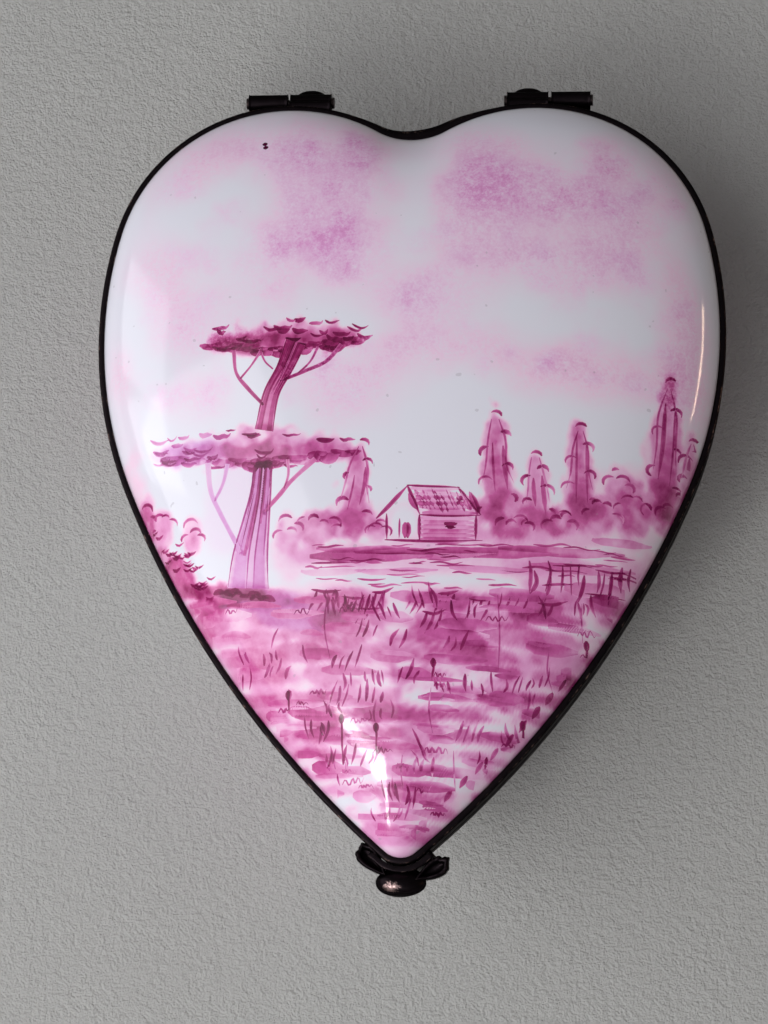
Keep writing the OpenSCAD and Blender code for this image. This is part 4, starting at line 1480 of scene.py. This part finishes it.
def build_knob():
    """The oval thumb knob, creased like a ribbon's knot, with a little wear all over and a painted highlight
    at its upper left.
    """
    low, high = node_box("thumb_knob")
    middle = [0, low[1] + 1.5, (low[2] + high[2]) / 2]

    def creases(a, b):
        fine = 0.5 * math.cos(7 * b - 3 * math.cos(a)) * math.sin(2 * a)
        wave = math.cos(3 * b + 1.2 * math.cos(a) + 0.6) + fine
        return 0.06 * wave * math.sin(a) ** 0.5 - 0.09

    points, faces = ellipsoid(middle, (high[0], 1.5, 1.5), 0.0, 48, 96, np.vectorize(creases))
    knob = make_piece("ribbon_knot", points, faces, clasp_metal, "lid")
    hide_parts("thumb_knob")
    # A lighter, rosy patch at the knob's upper left is a painted highlight.
    from_highlight = np.linalg.norm((points - middle - [-0.85, -0.45, 1.1]) / [1.7, 1.25, 1.0], axis=1)
    painted_highlight = np.clip(1.15 - from_highlight, 0, 1)
    set_values(knob, "wear_and_sheen", 0.3 + 1.0 * painted_highlight)


def build_bow(side):
    """One loop of the bow: a hammered ribbon round a deep pocket. The right one ends in a curled point."""
    name = "right" if side > 0 else "left"
    low, high = node_box(f"{name}_bow_loop")
    bottom, height = low[2], high[2] - low[2]
    plate_low, _ = node_box("catch_plate")
    start = np.array([1.25, plate_low[1] - (0.75 if side > 0 else 0.42)])
    length, half_w, ribbon, turn = (3.6, 0.9, 0.5, 31) if side > 0 else (3.9, 1.0, 0.5, 46)
    rng = np.random.default_rng(31 if side > 0 else 8)
    n = 96
    a = np.linspace(0, 2 * np.pi, n, endpoint=False)
    waves = (3, 5, 8, 13, 19, 29)
    lumps = sum(rng.uniform(0.25, 0.5) / k**0.8 * np.cos(k * a + rng.uniform(0, 6)) for k in waves)
    c, s = math.cos(math.radians(turn)), math.sin(math.radians(turn))

    def teardrop(inwards, z, rough):
        """A ring of the ribbon, moved inwards, at a share of the height."""
        reach, wide = length - 2.2 * inwards, half_w - inwards
        along = 1.2 * inwards + reach * (1 - np.cos(a)) / 2
        flat = np.column_stack([along, 1.3 * wide * np.sin(a) * np.abs(np.sin(a / 2)) ** 1.2])
        flat *= (1 + 0.17 * rough * lumps)[:, None]
        far = np.clip((flat[:, 0] / length - 0.7) / 0.3, 0, 1)
        if side > 0:
            flat = flat + np.array([0.25, 0.3]) * (far**3)[:, None]
        rise = rough * (0.1 * lumps * height + (0.2 if side > 0 else 0.0) * far)
        return np.column_stack([flat @ np.array([[c, s], [-s, c]]) + start, bottom + z * height + rise])

    top, web = 0.9, 0.42
    profile = [  # inwards, height, roughness, wear
        (0.12, 0.0, 0.0, 0.3), (0.0, 0.12, 1.0, 0.4), (0.0, 0.55, 1.0, 0.3), (0.03, top - 0.14, 1.0, 0.7),
        (0.14, top - 0.02, 1.0, 1.0), (ribbon * 0.5, top, 1.0, 0.9), (ribbon - 0.12, top - 0.03, 1.0, 0.8),
        (ribbon, top - 0.16, 1.0, 0.3), (ribbon, web + 0.06, 0.3, 0.0), (ribbon + 0.08, web, 0.0, 0.0),
    ]
    rings = [teardrop(inwards, z, rough) for inwards, z, rough, _ in profile]
    centre = start + length * 0.55 * np.array([c, s])
    points, faces = rings_with_poles([*centre, bottom], rings, [*centre, bottom + web * height])
    piece = make_piece(f"{name}_bow_ribbon", points * [side, 1, 1], faces, clasp_metal, "lid")
    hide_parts(f"{name}_bow_loop")
    wear_and_sheen = np.repeat([p[3] for p in profile], n) * (0.8 + 0.7 * np.tile(lumps, len(rings)))
    set_values(piece, "wear_and_sheen", np.concatenate([wear_and_sheen, [0, 0]]))


canvas = paint_lid()
build_lid(canvas)
build_strokes(canvas)
build_bowl()
build_rims()
for side in (-1, 1):
    build_hinge(side)
    build_bow(side)
build_catch_plate()
build_knob()
for node, material in (
    ("base_bedding", plaster), ("lid_bedding", plaster), ("catch_bead", bright_metal),
    ("left_hinge_pin", bright_metal), ("right_hinge_pin", bright_metal),
):
    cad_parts[node].data.materials.clear()
    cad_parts[node].data.materials.append(material)


# ----------------------------------------------------------------------------
# Floor, light and camera
# ----------------------------------------------------------------------------
def build_floor():
    """A plain matt table top."""
    n = Nodes("table_top")
    n.set(Base_Color=n.mix(n.noise(14, 2.0), srgb(175, 175, 171), srgb(162, 161, 157)), Roughness=0.75)
    grain = n.plus(n.times(n.noise(4200, 2.0), 0.5), n.times(n.noise(1500, 2.0), 0.7))
    creases = n.times(n.noise(340, 3.0, 0.65), 0.5)
    n.set(Normal=n.bump(n.plus(grain, creases), 0.9, 0.00036))
    bpy.ops.mesh.primitive_plane_add(size=3.0, location=(0, 0, 0))
    floor = bpy.context.object
    floor.name = "table_top"
    floor.data.materials.append(n.material)
    floor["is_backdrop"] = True


def direction(azimuth, elevation):
    """The unit vector towards a place in the sky, from degrees."""
    a, e = math.radians(azimuth), math.radians(elevation)
    return Vector((math.cos(e) * math.cos(a), math.cos(e) * math.sin(a), math.sin(e)))


def area_light(name, azimuth, elevation, distance, size, power, colour=(1, 1, 1), roll=0.0):
    """A rectangular light that faces the box from a direction."""
    light = bpy.data.lights.new(name, "AREA")
    light.shape, light.size, light.size_y = "RECTANGLE", size[0], size[1]
    light.energy, light.color = power, colour
    lamp = bpy.data.objects.new(name, light)
    way = direction(azimuth, elevation)
    target = Vector((0, 0, 0.02))
    lamp.matrix_world = (
        Matrix.Translation(target + way * distance)
        @ way.to_track_quat("Z", "Y").to_matrix().to_4x4()
        @ Matrix.Rotation(math.radians(roll), 4, "Z")
    )
    bpy.context.scene.collection.objects.link(lamp)


def build_lights():
    """A dim room that's lighter overhead and in front at the left, a window at the left, and a warm lamp."""
    world = bpy.data.worlds.new("room")
    bpy.context.scene.world = world
    world.use_nodes = True
    tree = world.node_tree
    way = tree.nodes.new("ShaderNodeTexCoord").outputs["Generated"]
    towards = tree.nodes.new("ShaderNodeVectorMath")
    towards.operation = "DOT_PRODUCT"
    towards.inputs[1].default_value = (-0.30, -0.42, 0.75)
    ramp = tree.nodes.new("ShaderNodeValToRGB")
    tree.links.new(way, towards.inputs[0])
    tree.links.new(towards.outputs["Value"], ramp.inputs["Fac"])
    elements = ramp.color_ramp.elements
    elements[0].position, elements[0].color = 0.0, (0.07, 0.067, 0.065, 1)
    elements[1].position, elements[1].color = 1.0, (0.36, 0.37, 0.40, 1)
    elements.new(0.45).color = (0.22, 0.22, 0.23, 1)
    tree.links.new(ramp.outputs["Color"], tree.nodes["Background"].inputs["Color"])
    area_light("left_window", 177, 22, 0.4, (0.085, 0.18), 0.09, (0.93, 0.95, 1.0), 8)
    area_light("side_window", 160, 22, 0.4, (0.12, 0.2), 0.12, (0.93, 0.95, 1.0))
    area_light("soft_daylight", -150, 48, 0.42, (0.58, 0.44), 1.38, (0.98, 0.97, 1.0))
    area_light("near_window", -124, 42, 0.4, (0.042, 0.19), 0.39, (1.0, 1.0, 1.0), 26)
    area_light("warm_lamp", 12, 8, 0.6, (0.2, 0.025), 0.2, (1.0, 0.72, 0.5))


LENS, SENSOR = 96, 36
CAMERA_TILT, CAMERA_SWING, CAMERA_ROLL = 12, 5, 1.1  # degrees
CAMERA_DISTANCE = 0.26


def build_camera():
    """Above the box and a little in front of it, looking down at the lid."""
    scene = bpy.context.scene
    target = Vector((0, 0.000159, 0.017))
    tilt, swing = math.radians(CAMERA_TILT), math.radians(CAMERA_SWING)
    view = Vector((math.sin(swing) * math.cos(tilt), -math.sin(tilt), math.cos(swing) * math.cos(tilt)))
    right = Vector((0, 1, 0)).cross(view).normalized()
    up = view.cross(right)
    place = target + view * CAMERA_DISTANCE - right * 0.00228 - up * 0.00314
    roll = math.radians(CAMERA_ROLL)
    across = right * math.cos(roll) + up * math.sin(roll)
    above = up * math.cos(roll) - right * math.sin(roll)
    camera = bpy.data.cameras.new("camera")
    camera.lens, camera.sensor_width = LENS, SENSOR
    camera.clip_start = 0.01
    holder = bpy.data.objects.new("camera", camera)
    turn = Matrix((across, above, view)).transposed().to_4x4()
    holder.matrix_world = Matrix.Translation(place) @ turn
    scene.collection.objects.link(holder)
    scene.camera = holder
    scene.view_settings.view_transform = "Standard"


build_floor()
build_lights()
build_camera()

[[list(corner) for corner in box] for box in (cad_box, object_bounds())]
